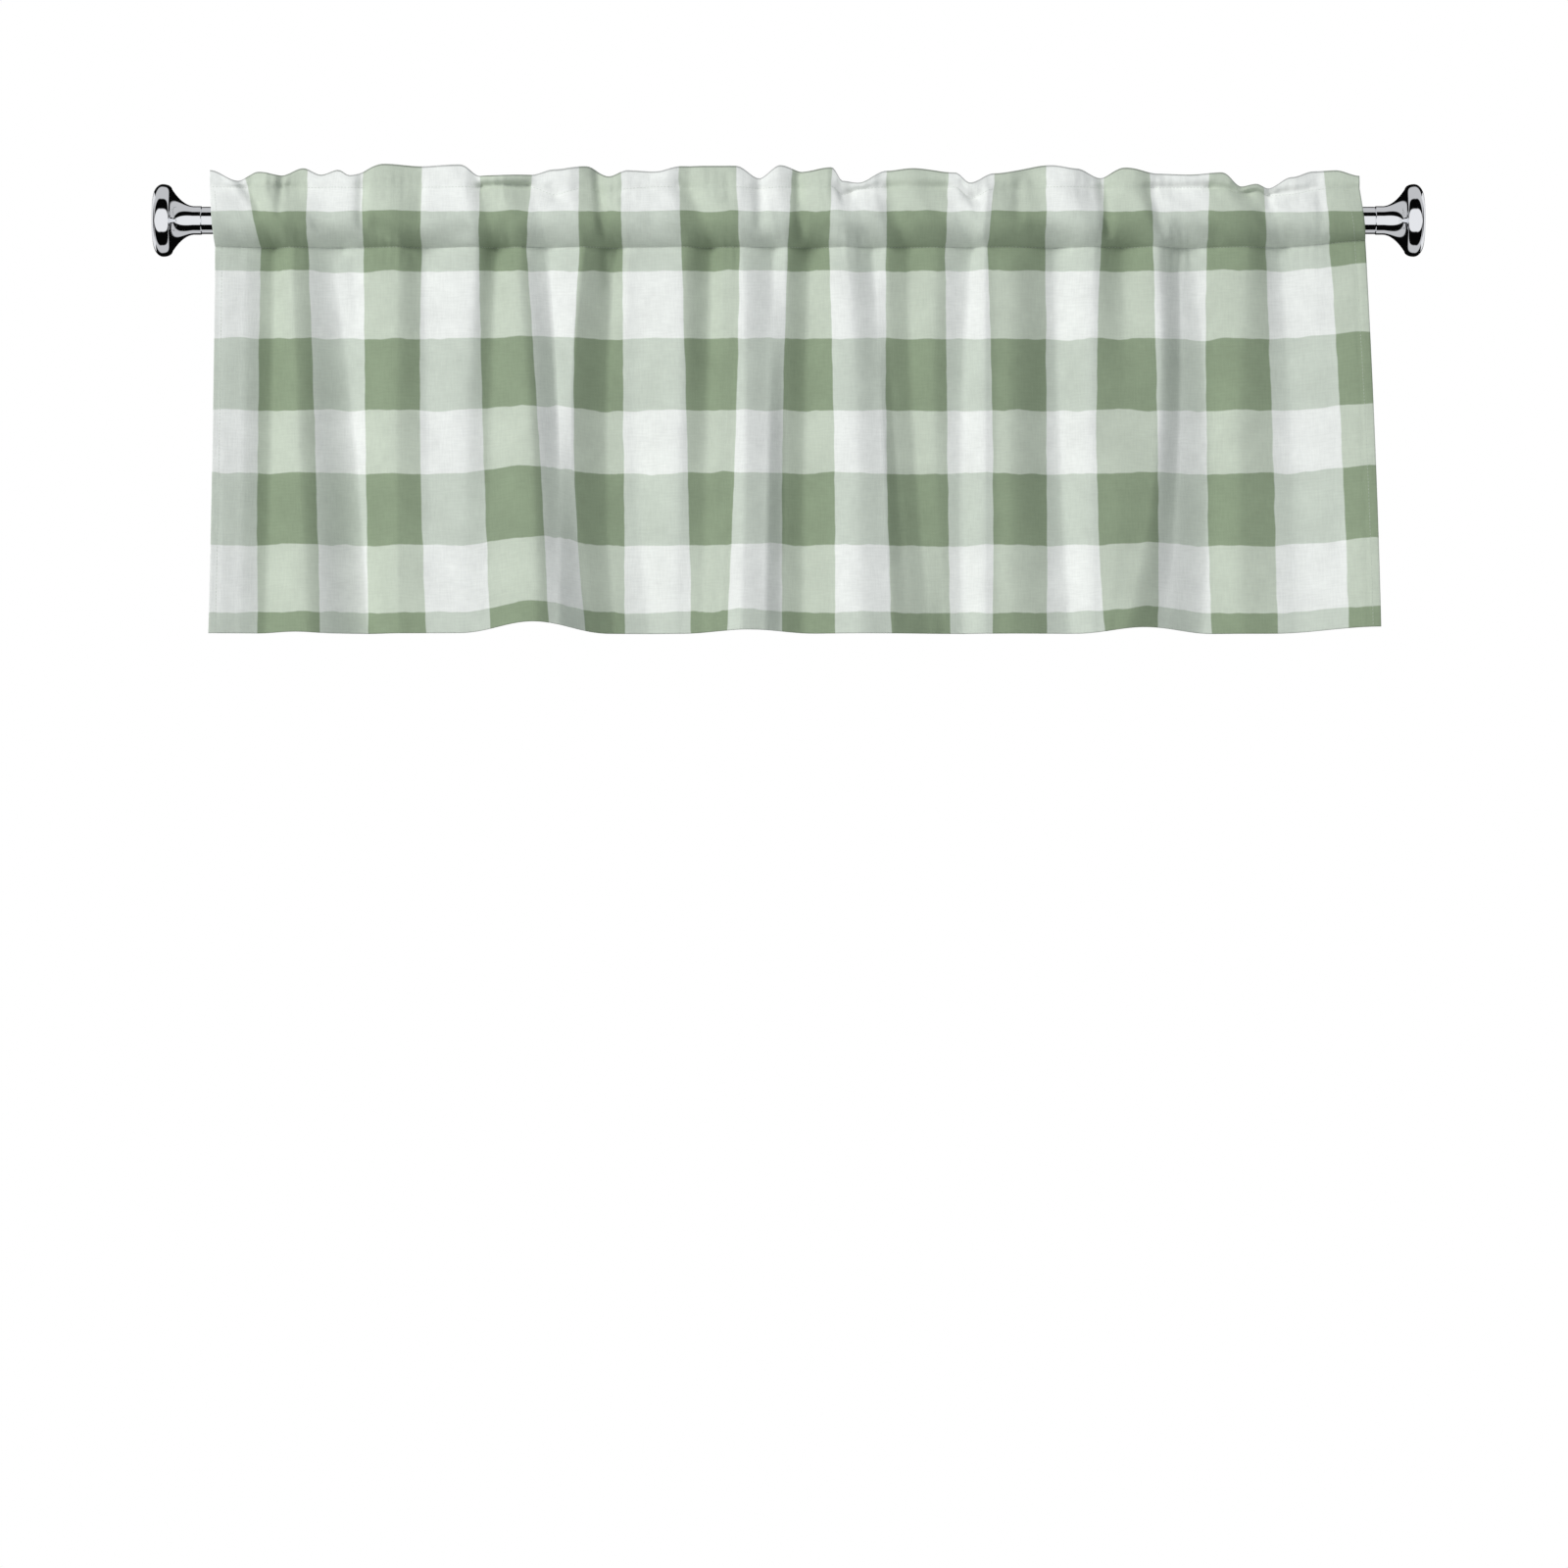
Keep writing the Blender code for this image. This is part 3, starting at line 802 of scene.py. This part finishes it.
def puckered(along, height):
    """The small gathers that the two rows of stitches pull into the cloth beside them."""
    drift = PUCKER_DRIFT * np.sin(along / PUCKER_DRIFT_LENGTH)
    waves = np.sin(math.tau * along / PUCKER_SPACING + drift)
    change = PUCKER_CHANGE * np.sin(along / PUCKER_CHANGE_LENGTH + 1.0)
    waves = waves * (1.0 - PUCKER_CHANGE + change)
    total = np.zeros_like(along)
    for seam in (LOWER_SEAM_HEIGHT + raised(along, 0.0), ruffle.seam):
        away = np.abs(height - seam) / PUCKER_REACH
        total += waves * PUCKER_HEIGHT * 2.0 * away * np.exp(1.0 - 2.0 * away)
    return total


def rumpled(along, height):
    """Soft dents in the header and pocket, which fade out down the skirt."""
    drift = DENT_DRIFT * np.sin(height / DRIFT_UP + along / DRIFT_ALONG)
    waves = np.sin(along / DENT_ALONG + drift) * np.sin(height / DENT_UP + along / DENT_SLANT)
    waves += BROAD_DENT_SHARE * np.sin(along / BROAD_DENT_ALONG + height / BROAD_DENT_UP)
    fading = np.clip(1.0 + (height - LOWER_SEAM_HEIGHT) / RUMPLE_FADE, 0.0, 1.0)
    return RUMPLE_HEIGHT * waves * fading


def seam_dip(along, height):
    """The groove that the pocket's stitches pull into the cloth."""
    away = np.abs(LOWER_SEAM_HEIGHT + raised(along, 0.0) - height)
    return -SEAM_DIP * np.exp(-away / SEAM_DIP_REACH)


def relief(along, height):
    """How far creases, puckers, dents and the seam move each place towards the room."""
    return (
        creased(along, height)
        + puckered(along, height)
        + rumpled(along, height)
        + seam_dip(along, height)
    )


def stacked(along, near, height):
    """Points from their distance along the rod, towards the room and up."""
    return np.stack((along, -near, np.broadcast_to(height, along.shape)), axis=1)


def skirt_row(down):
    """A row across the skirt, from down = 0 at the lower seam to 1 at the hem."""
    left = through_three(left_fold.seam, left_fold.mid, left_fold.hem, down)
    right = through_three(right_fold.seam, right_fold.mid, right_fold.hem, down)
    along = mix(left, right, fold_share)
    low = through_three(left_fold.near_seam, left_fold.near_mid, left_fold.near_hem, down)
    high = through_three(right_fold.near_seam, right_fold.near_mid, right_fold.near_hem, down)
    near = eased(low, high, fold_share, left_fold.crisp, right_fold.crisp)
    height = mix(LOWER_SEAM_HEIGHT, HEM_HEIGHT, down) + raised(along, down)
    return along, near, height


seam_along, seam_near, seam_height = skirt_row(0.0)
wrap_table = Wrap(*np.array(WRAPS).T)
fullest = max(wrap_table.front)


def pocket_row(level, behind):
    """A row round the pocket at a level between the lower seam and the upper one."""
    if level > ROD_ZONE_TOP:
        reach = (ruffle.seam - ROD_ZONE_TOP) / (UPPER_SEAM_HEIGHT - ROD_ZONE_TOP)
        height = ROD_ZONE_TOP + (level - ROD_ZONE_TOP) * reach
    elif level < ROD_ZONE_BOTTOM:
        reach = (seam_height - ROD_ZONE_BOTTOM) / (LOWER_SEAM_HEIGHT - ROD_ZONE_BOTTOM)
        height = ROD_ZONE_BOTTOM + (level - ROD_ZONE_BOTTOM) * reach
    else:
        height = np.full_like(seam_along, level)
    up = (height - seam_height) / (ruffle.seam - seam_height)
    along = mix(seam_along, header_along, up)
    front = smooth_through(wrap_table.height, wrap_table.front, level)
    back = smooth_through(wrap_table.height, wrap_table.back, level)
    freedom = front / fullest
    at_seams = mix(seam_near, seam_near * GATHER_AT_UPPER_SEAM + HEADER_FORWARD, up)
    if behind:
        near = (at_seams - SEAM_GAP) * (1.0 - freedom) - back
        near = near - GATHER_BEHIND_ROD * seam_near * freedom
    else:
        near = at_seams * (1.0 - freedom) + front + GATHER_IN_POCKET * seam_near * freedom
    return along, near, height


def header_row(up):
    """A row across the header, from up = 0 at the upper seam to 1 at its top edge."""
    slack = np.sqrt(np.maximum(HEADER_LENGTH**2 - (ruffle.top - ruffle.seam) ** 2, 0.0))
    near = seam_near * GATHER_AT_UPPER_SEAM + HEADER_FORWARD + ruffle.lean * up
    near = near + 0.5 * HEADER_SLACK * slack * math.sin(math.pi * up) ** 2
    return header_along, near, mix(ruffle.seam, ruffle.top, up)


def worked(along, near, height):
    """A row of points with the cloth's relief added, kept in front of the rod."""
    near = near + relief(along, height)
    kept_out = ROD_RADIUS + ROD_CLEARANCE
    rod_front = np.sqrt(np.maximum(kept_out**2 - height**2, 0.0))
    near = np.where(np.abs(height) < kept_out, np.maximum(near, rod_front), near)
    return stacked(along, near, height)


def surface_normals(grid):
    """Which way the right side of the cloth faces at each point of a grid."""
    across = np.gradient(grid, axis=1)
    upward = np.gradient(grid, axis=0)
    normals = np.cross(across, upward)
    return normals / np.linalg.norm(normals, axis=2, keepdims=True)


def check_places(along, down=None, up=None):
    """Where the check's edges lie along a row: on the skirt by down, above the seam by up."""
    edges = []
    for edge in COLUMN_EDGES:
        if down is None:
            edges.append(mix(edge.seam, edge.head, up))
        else:
            edges.append(through_three(edge.seam, edge.mid, edge.hem, down))
    return np.array([along[0], *edges, along[-1]])


cut_edges = [0.0]
for number in range(len(COLUMN_EDGES)):
    column, is_right = divmod(number, 2)
    cut_edges.append(FIRST_COLUMN + CHECK_REPEAT * column + COLUMN_WIDTH * is_right)
cut_edges.append(FLAT_WIDTH)


def cut_across(points, down=None, up=None):
    """Distance across the flat cut at each point of a row."""
    return np.interp(points[:, 0], check_places(points[:, 0], down, up), cut_edges)


edge_down = EDGE_ROW / SKIRT_LENGTH
skirt_downs = np.linspace(1.0, 0.0, SKIRT_ROWS + 1)
skirt_downs = np.insert(skirt_downs, (1, SKIRT_ROWS), (1.0 - edge_down, edge_down))
skirt_up = (1.0 - skirt_downs) * SKIRT_LENGTH


def pocket_levels(rows):
    """Levels round the pocket, closest together beside the seams."""
    turns = np.arange(1, rows) / rows
    return mix(LOWER_SEAM_HEIGHT, UPPER_SEAM_HEIGHT, 0.5 - 0.5 * np.cos(np.pi * turns))


def pocket_up(levels):
    """Distance up the flat cut at each level of the pocket."""
    fine = np.linspace(LOWER_SEAM_HEIGHT, UPPER_SEAM_HEIGHT, MEASURE_STEPS)
    fronts = smooth_through(wrap_table.height, wrap_table.front, fine)
    lengths = np.concatenate(([0.0], np.cumsum(np.hypot(np.diff(fine), np.diff(fronts)))))
    return np.interp(levels, fine, lengths / lengths[-1]) * POCKET_LENGTH


def level_share(height):
    """Share of the way from the lower seam to the header at which column edges are given."""
    return (height - LOWER_SEAM_HEIGHT) / (HEADER_HEIGHT - LOWER_SEAM_HEIGHT)


rows = []
cut_u = []
cut_v = []


def add_row(points, across, up):
    """Add a row of points, with each one's place on the flat cut."""
    rows.append(points)
    cut_u.append(across)
    cut_v.append(np.full(len(points), float(up)))


# The bottom hem, from its raw edge behind the skirt down to the fold
for step in range(HEM_ROWS, 0, -1):
    down = 1.0 - HEM_DEPTH * step / HEM_ROWS / SKIRT_LENGTH
    front = worked(*skirt_row(down))
    row_below = worked(*skirt_row(min(down + FACING_STEP, 1.0)))
    facing = np.cross(np.gradient(front, axis=0), front - row_below)
    facing /= np.linalg.norm(facing, axis=1, keepdims=True)
    points = front - facing * (HEM_GAP + LAYER_GAP * (step < HEM_ROWS))
    add_row(points, cut_across(front, down=down), -HEM_DEPTH * step / HEM_ROWS)
for down, up in zip(skirt_downs, skirt_up):
    points = worked(*skirt_row(down))
    add_row(points, cut_across(points, down=down), up)
for level, up in zip(pocket_levels(POCKET_ROWS), pocket_up(pocket_levels(POCKET_ROWS))):
    points = worked(*pocket_row(level, behind=False))
    add_row(points, cut_across(points, up=level_share(level)), SKIRT_LENGTH + up)
header_base = SKIRT_LENGTH + POCKET_LENGTH
for up in np.linspace(0.0, 1.0, HEADER_ROWS + 1):
    points = worked(*header_row(up))
    level = mix(UPPER_SEAM_HEIGHT, HEADER_HEIGHT, up)
    add_row(points, cut_across(points, up=level_share(level)), header_base + HEADER_LENGTH * up)
top_edge = header_base + HEADER_LENGTH
crown = rows[-1] + np.array((0.0, 0.5 * SEAM_GAP, CROWN_RISE * SEAM_GAP))
add_row(crown, cut_u[-1], top_edge + 0.5 * SEAM_GAP)
for up in np.linspace(1.0, 0.0, HEADER_BACK_ROWS + 1):
    points = worked(*header_row(up)) + np.array((0.0, SEAM_GAP, 0.0))
    level = mix(UPPER_SEAM_HEIGHT, HEADER_HEIGHT, up)
    add_row(
        points, cut_across(points, up=level_share(level)), top_edge + HEADER_LENGTH * (1.0 - up)
    )
back_levels = pocket_levels(POCKET_BACK_ROWS)[::-1]
for level, up in zip(back_levels, pocket_up(back_levels)):
    along, near, height = pocket_row(level, behind=True)
    from_rod = max(
        (level - ROD_ZONE_TOP) / (UPPER_SEAM_HEIGHT - ROD_ZONE_TOP),
        (ROD_ZONE_BOTTOM - level) / (ROD_ZONE_BOTTOM - LOWER_SEAM_HEIGHT),
        0.0,
    )
    points = stacked(along, near + relief(along, height) * from_rod, height)
    across = cut_across(points, up=level_share(level))
    add_row(points, across, top_edge + HEADER_LENGTH + POCKET_LENGTH - up)
back_end = top_edge + HEADER_LENGTH + POCKET_LENGTH

# The end of the cloth is turned under behind the lower seam, one row each: how far below the
# seam it lies, its share of the gap behind the front layer, and the cloth used so far
TURNED_ROWS = (
    (0.0, 1.0, 0.0),
    (TURNED_END, 1.0, TURNED_END),
    (TURNED_END + 0.6, 0.75, TURNED_END + 1.2),
    (TURNED_END, 0.5, TURNED_END + 2.4),
    (0.0, 0.5, 2.0 * TURNED_END),
)
for below, share_behind, used in TURNED_ROWS:
    down = below / SKIRT_LENGTH
    points = worked(*skirt_row(down)) + np.array((0.0, share_behind * SEAM_GAP, 0.0))
    add_row(points, cut_across(points, down=down), back_end + used)

body = np.array(rows)
across_cut = np.array(cut_u)
up_cut = np.array(cut_v)
outward = surface_normals(body)
# The fold at the foot of the bottom hem faces straight down
outward[HEM_ROWS] = (0.0, 0.0, -1.0)


def side_hem(edge_columns, edge_cut):
    """The side hem: the cloth turned to its wrong side, behind the columns at its edge."""
    tucked_in = body[:, edge_columns] - outward[:, edge_columns] * LAYER_GAP
    return tucked_in, 2.0 * edge_cut - across_cut[:, edge_columns], up_cut[:, edge_columns]


left_columns = list(range(LEFT_HEM_COLUMNS, -1, -1))
last_column = body.shape[1] - 1
right_columns = list(range(last_column, last_column - RIGHT_HEM_COLUMNS - 1, -1))
left_hem = side_hem(left_columns, 0.0)
right_hem = side_hem(right_columns, FLAT_WIDTH)
grid = np.concatenate((left_hem[0], body, right_hem[0]), axis=1)
grid_u = np.concatenate((left_hem[1], across_cut, right_hem[1]), axis=1)
grid_v = np.concatenate((left_hem[2], up_cut, right_hem[2]), axis=1)

row_count, column_count = grid_u.shape
numbers = np.arange(row_count * column_count).reshape(row_count, column_count)
quads = np.stack(
    (numbers[:-1, :-1], numbers[:-1, 1:], numbers[1:, 1:], numbers[1:, :-1]), axis=2
).reshape(-1, 4)
cloth_mesh = bpy.data.meshes.new("valance_cloth")
cloth_mesh.from_pydata((grid.reshape(-1, 3) * MM).tolist(), [], quads.tolist())
cut_map = cloth_mesh.uv_layers.new(name="flat_cut")
corners = np.zeros(len(cloth_mesh.loops), int)
cloth_mesh.loops.foreach_get("vertex_index", corners)
flat_cut = np.stack((grid_u.ravel()[corners], grid_v.ravel()[corners]), axis=1)
cut_map.data.foreach_set("uv", (flat_cut * MM).ravel().astype(np.float32))
cloth_mesh.shade_smooth()
valance_cloth = bpy.data.objects.new("valance_cloth", cloth_mesh)
scene.collection.objects.link(valance_cloth)
thickness = valance_cloth.modifiers.new("cloth thickness", "SOLIDIFY")
thickness.thickness = CLOTH_THICKNESS * MM
thickness.offset = -1.0

# Plain-weave cotton and polyester, matt and a little fuzzy, printed with a check in one sage
# ink. The ink lies in two passes, so the squares where a column crosses a band are darkest,
# and its edges waver and bleed a little. Real threads are 0.4 mm apart. They are drawn 3.2 mm
# apart, thick and thin, so that they show.
BARE_CLOTH = "#EFF1ED"
COLUMN_INK = "#C8D1C1"
BAND_INK = "#CDD5C9"
CROSSED_INK = "#91A085"
BAND_WIDTH = 66.7
# Every second band, and the bands between them, which were printed 2 mm further up
BAND_CENTRES = (-13.9, 115.4)
EDGE_BLEED = 1.3
WAVER_LENGTH = 30.0
WAVER_REACH = (1.7, 3.2, 0.0)
WASH_LENGTH = 34.0
WASH_CHANGE = (0.94, 1.035)
THREAD_SPACING = 3.2
THREAD_RUN = 26.0
THREADS_PER_SPACING = 2.0
THREAD_HEIGHT = 0.08
THREAD_STRENGTH = 0.5
THREAD_SHADE = 0.05
# Painted shade along the fold at the header's top: its width in mm and how dark it makes the cloth
PAINTED_FOLD_SHADE_WIDTH = 1.6
PAINTED_FOLD_SHADE = 0.62

printed_cotton = bpy.data.materials.new("printed cotton blend")
printed_cotton.use_nodes = True
tree = printed_cotton.node_tree
cotton = tree.nodes["Principled BSDF"]
cotton.inputs["Roughness"].default_value = 0.92
cotton.inputs["Specular IOR Level"].default_value = 0.2
cotton.inputs["Sheen Weight"].default_value = 0.08
cotton.inputs["Sheen Roughness"].default_value = 0.6
flat_place = add_node(tree, "ShaderNodeUVMap", uv_map="flat_cut")
in_mm = add_node(
    tree, "ShaderNodeVectorMath", {0: flat_place.outputs[0], 3: 1.0 / MM}, operation="SCALE"
)
waver = add_node(
    tree,
    "ShaderNodeTexNoise",
    {"Vector": in_mm.outputs[0], "Scale": 1.0 / WAVER_LENGTH, "Detail": 2.0, "Roughness": 0.45},
)
waver_centred = add_node(
    tree,
    "ShaderNodeVectorMath",
    {0: waver.outputs["Color"], 1: (0.5, 0.5, 0.5)},
    operation="SUBTRACT",
)
waver_sized = add_node(
    tree,
    "ShaderNodeVectorMath",
    {0: waver_centred.outputs[0], 1: tuple(2.0 * reach for reach in WAVER_REACH)},
    operation="MULTIPLY",
)
printed_place = add_node(
    tree,
    "ShaderNodeVectorMath",
    {0: in_mm.outputs[0], 1: waver_sized.outputs[0]},
    operation="ADD",
)
printed_axes = add_node(tree, "ShaderNodeSeparateXYZ", {0: printed_place.outputs[0]})


def stripe(cut_place, centre, repeat, width):
    """How much ink a stripe lays down: 1 inside it, 0 outside, with a bleed at its edges."""
    from_centre = add_node(
        tree, "ShaderNodeMath", {0: cut_place, 1: centre}, operation="SUBTRACT"
    )
    wrapped = add_node(
        tree,
        "ShaderNodeMath",
        {0: from_centre.outputs[0], 1: 0.5 * repeat, 2: -0.5 * repeat},
        operation="WRAP",
    )
    away = add_node(tree, "ShaderNodeMath", {0: wrapped.outputs[0]}, operation="ABSOLUTE")
    inked = add_node(
        tree,
        "ShaderNodeMapRange",
        {
            0: away.outputs[0],
            1: 0.5 * (width + EDGE_BLEED),
            2: 0.5 * (width - EDGE_BLEED),
            3: 0.0,
            4: 1.0,
        },
        interpolation_type="SMOOTHSTEP",
    )
    return inked.outputs[0]


columns_ink = stripe(
    printed_axes.outputs["X"], FIRST_COLUMN + 0.5 * COLUMN_WIDTH, CHECK_REPEAT, COLUMN_WIDTH
)
band_inks = [
    stripe(printed_axes.outputs["Y"], centre, 2.0 * CHECK_REPEAT, BAND_WIDTH)
    for centre in BAND_CENTRES
]
bands_ink = add_node(
    tree, "ShaderNodeMath", {0: band_inks[0], 1: band_inks[1]}, operation="MAXIMUM"
)
between_bands = add_node(
    tree,
    "ShaderNodeMix",
    {0: columns_ink, 6: linear(BARE_CLOTH), 7: linear(COLUMN_INK)},
    data_type="RGBA",
)
on_bands = add_node(
    tree,
    "ShaderNodeMix",
    {0: columns_ink, 6: linear(BAND_INK), 7: linear(CROSSED_INK)},
    data_type="RGBA",
)
check = add_node(
    tree,
    "ShaderNodeMix",
    {0: bands_ink.outputs[0], 6: between_bands.outputs[2], 7: on_bands.outputs[2]},
    data_type="RGBA",
)
wash = add_node(
    tree,
    "ShaderNodeTexNoise",
    {"Vector": in_mm.outputs[0], "Scale": 1.0 / WASH_LENGTH, "Detail": 3.0, "Roughness": 0.5},
)
wash_shade = add_node(
    tree,
    "ShaderNodeMapRange",
    {
        0: wash.outputs[0],
        1: NOISE_RANGE[0],
        2: NOISE_RANGE[1],
        3: WASH_CHANGE[0],
        4: WASH_CHANGE[1],
    },
)
thread_waves = []
for spacings in ((THREAD_SPACING, THREAD_RUN), (THREAD_RUN, THREAD_SPACING)):
    along_threads = add_node(
        tree,
        "ShaderNodeVectorMath",
        {0: in_mm.outputs[0], 1: (1.0 / spacings[0], 1.0 / spacings[1], 1.0)},
        operation="MULTIPLY",
    )
    thick_and_thin = add_node(
        tree,
        "ShaderNodeTexNoise",
        {
            "Vector": along_threads.outputs[0],
            "Scale": THREADS_PER_SPACING,
            "Detail": 1.0,
            "Roughness": 0.4,
        },
    )
    thread_waves.append(thick_and_thin.outputs[0])
weave = add_node(
    tree, "ShaderNodeMath", {0: thread_waves[0], 1: thread_waves[1]}, operation="ADD"
)
uneven_weave = add_node(
    tree,
    "ShaderNodeMapRange",
    {0: weave.outputs[0], 1: 2.0 * NOISE_RANGE[0], 2: 2.0 * NOISE_RANGE[1], 3: -1.0, 4: 1.0},
)
thread_shade = add_node(
    tree,
    "ShaderNodeMath",
    {0: uneven_weave.outputs[0], 1: THREAD_SHADE, 2: 1.0},
    operation="MULTIPLY_ADD",
)
# Painted shade: a thin darker line drawn along the fold at the header's top, a painted shadow, not a
# change in the cloth
cut_axes = add_node(tree, "ShaderNodeSeparateXYZ", {0: in_mm.outputs[0]})
from_top = add_node(
    tree, "ShaderNodeMath", {0: cut_axes.outputs["Y"], 1: top_edge}, operation="SUBTRACT"
)
beside_top = add_node(tree, "ShaderNodeMath", {0: from_top.outputs[0]}, operation="ABSOLUTE")
painted_fold_shade = add_node(
    tree,
    "ShaderNodeMapRange",
    {0: beside_top.outputs[0], 1: 0.5 * PAINTED_FOLD_SHADE_WIDTH, 2: PAINTED_FOLD_SHADE_WIDTH, 3: PAINTED_FOLD_SHADE, 4: 1.0},
)
plain_shade = add_node(
    tree,
    "ShaderNodeMath",
    {0: wash_shade.outputs[0], 1: thread_shade.outputs[0]},
    operation="MULTIPLY",
)
shade = add_node(
    tree,
    "ShaderNodeMath",
    {0: plain_shade.outputs[0], 1: painted_fold_shade.outputs[0]},
    operation="MULTIPLY",
)
print_colour = add_node(
    tree,
    "ShaderNodeVectorMath",
    {0: check.outputs[2], 3: shade.outputs[0]},
    operation="SCALE",
)
weave_bump = add_node(
    tree,
    "ShaderNodeBump",
    {
        "Strength": THREAD_STRENGTH,
        "Distance": THREAD_HEIGHT * MM,
        "Height": uneven_weave.outputs[0],
    },
)
tree.links.new(print_colour.outputs[0], cotton.inputs["Base Color"])
tree.links.new(weave_bump.outputs[0], cotton.inputs["Normal"])
cloth_mesh.materials.append(printed_cotton)

# The chrome shows no print, so it doesn't mirror the cloth
valance_cloth.visible_glossy = False
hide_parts("valance")
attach(valance_cloth, "root")


# The lockstitch that closes the header, the pocket and the two side hems, sewn with sage
# polyester thread 0.4 mm thick at about eight stitches to the inch, through both layers.
STITCH_PITCH = 3.2
STITCH_LENGTH = 2.7
THREAD_RADIUS = 0.19
STITCH_SIDES = 6
# Share of half the stitch's length, share of the thread's radius, and depth into the cloth
STITCH_RINGS = ((-1.0, 0.5, -0.3), (-0.6, 1.0, 0.0), (0.6, 1.0, 0.0), (1.0, 0.5, -0.3))


def stitch_row(line, facing):
    """Points of every stitch along a line on the cloth, as rings of a short bent tube."""
    steps = np.linalg.norm(np.diff(line, axis=0), axis=1)
    run = np.concatenate(([0.0], np.cumsum(steps)))
    middles = np.arange(STITCH_PITCH, run[-1] - STITCH_PITCH, STITCH_PITCH)
    centre = np.stack([np.interp(middles, run, line[:, axis]) for axis in range(3)], axis=1)
    ahead = np.gradient(centre, axis=0)
    ahead /= np.linalg.norm(ahead, axis=1, keepdims=True)
    out = np.stack([np.interp(middles, run, facing[:, axis]) for axis in range(3)], axis=1)
    out /= np.linalg.norm(out, axis=1, keepdims=True)
    beside = np.cross(ahead, out)
    rings = []
    for along_share, radius_share, sunk in STITCH_RINGS:
        ring_centre = centre + ahead * (0.5 * STITCH_LENGTH * along_share) + out * sunk
        for side in range(STITCH_SIDES):
            angle = math.tau * side / STITCH_SIDES
            spread = out * math.cos(angle) + beside * math.sin(angle)
            rings.append(ring_centre + spread * THREAD_RADIUS * radius_share)
    return np.stack(rings, axis=1)


lower_seam_row = HEM_ROWS + len(skirt_downs) - 1
upper_seam_row = lower_seam_row + POCKET_ROWS
hung_rows = slice(HEM_ROWS, upper_seam_row)
hem_columns = (LEFT_HEM_COLUMNS, last_column - RIGHT_HEM_COLUMNS)
stitch_points = np.concatenate(
    [stitch_row(body[row], outward[row]) for row in (lower_seam_row, upper_seam_row)]
    + [
        stitch_row(body[hung_rows, column], outward[hung_rows, column])
        for column in hem_columns
    ]
)
ring_faces = []
for ring in range(len(STITCH_RINGS) - 1):
    for side in range(STITCH_SIDES):
        beside = (side + 1) % STITCH_SIDES
        base = ring * STITCH_SIDES
        ring_faces.append(
            (base + side, base + beside, base + STITCH_SIDES + beside, base + STITCH_SIDES + side)
        )
points_per_stitch = len(STITCH_RINGS) * STITCH_SIDES
stitch_faces = (
    np.array(ring_faces)[None] + np.arange(len(stitch_points))[:, None, None] * points_per_stitch
)
stitch_mesh = bpy.data.meshes.new("seam_stitches")
stitch_mesh.from_pydata(
    (stitch_points.reshape(-1, 3) * MM).tolist(), [], stitch_faces.reshape(-1, 4).tolist()
)
stitch_mesh.shade_smooth()

# Spun polyester sewing thread: matt, with a slight twist that breaks up its highlight.
THREAD_COLOUR = "#C6CEC2"
TWIST_SPACING = 0.6
TWIST_DEPTH = 0.1
# Blender's wave texture turns through this many radians in each unit of its vector
WAVE_RADIANS = 20.0
spun_thread = bpy.data.materials.new("spun polyester thread")
spun_thread.use_nodes = True
tree = spun_thread.node_tree
thread = tree.nodes["Principled BSDF"]
thread.inputs["Base Color"].default_value = linear(THREAD_COLOUR)
thread.inputs["Roughness"].default_value = 0.7
thread_place = add_node(tree, "ShaderNodeTexCoord")
twist_scale = math.tau / WAVE_RADIANS / (TWIST_SPACING * MM)
twist = add_node(
    tree,
    "ShaderNodeTexWave",
    {"Vector": thread_place.outputs["Object"], "Scale": twist_scale},
    bands_direction="DIAGONAL",
)
twist_bump = add_node(
    tree, "ShaderNodeBump", {"Distance": TWIST_DEPTH * MM, "Height": twist.outputs["Fac"]}
)
tree.links.new(twist_bump.outputs[0], thread.inputs["Normal"])
stitch_mesh.materials.append(spun_thread)
seam_stitches = bpy.data.objects.new("seam_stitches", stitch_mesh)
scene.collection.objects.link(seam_stitches)
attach(seam_stitches, "root")
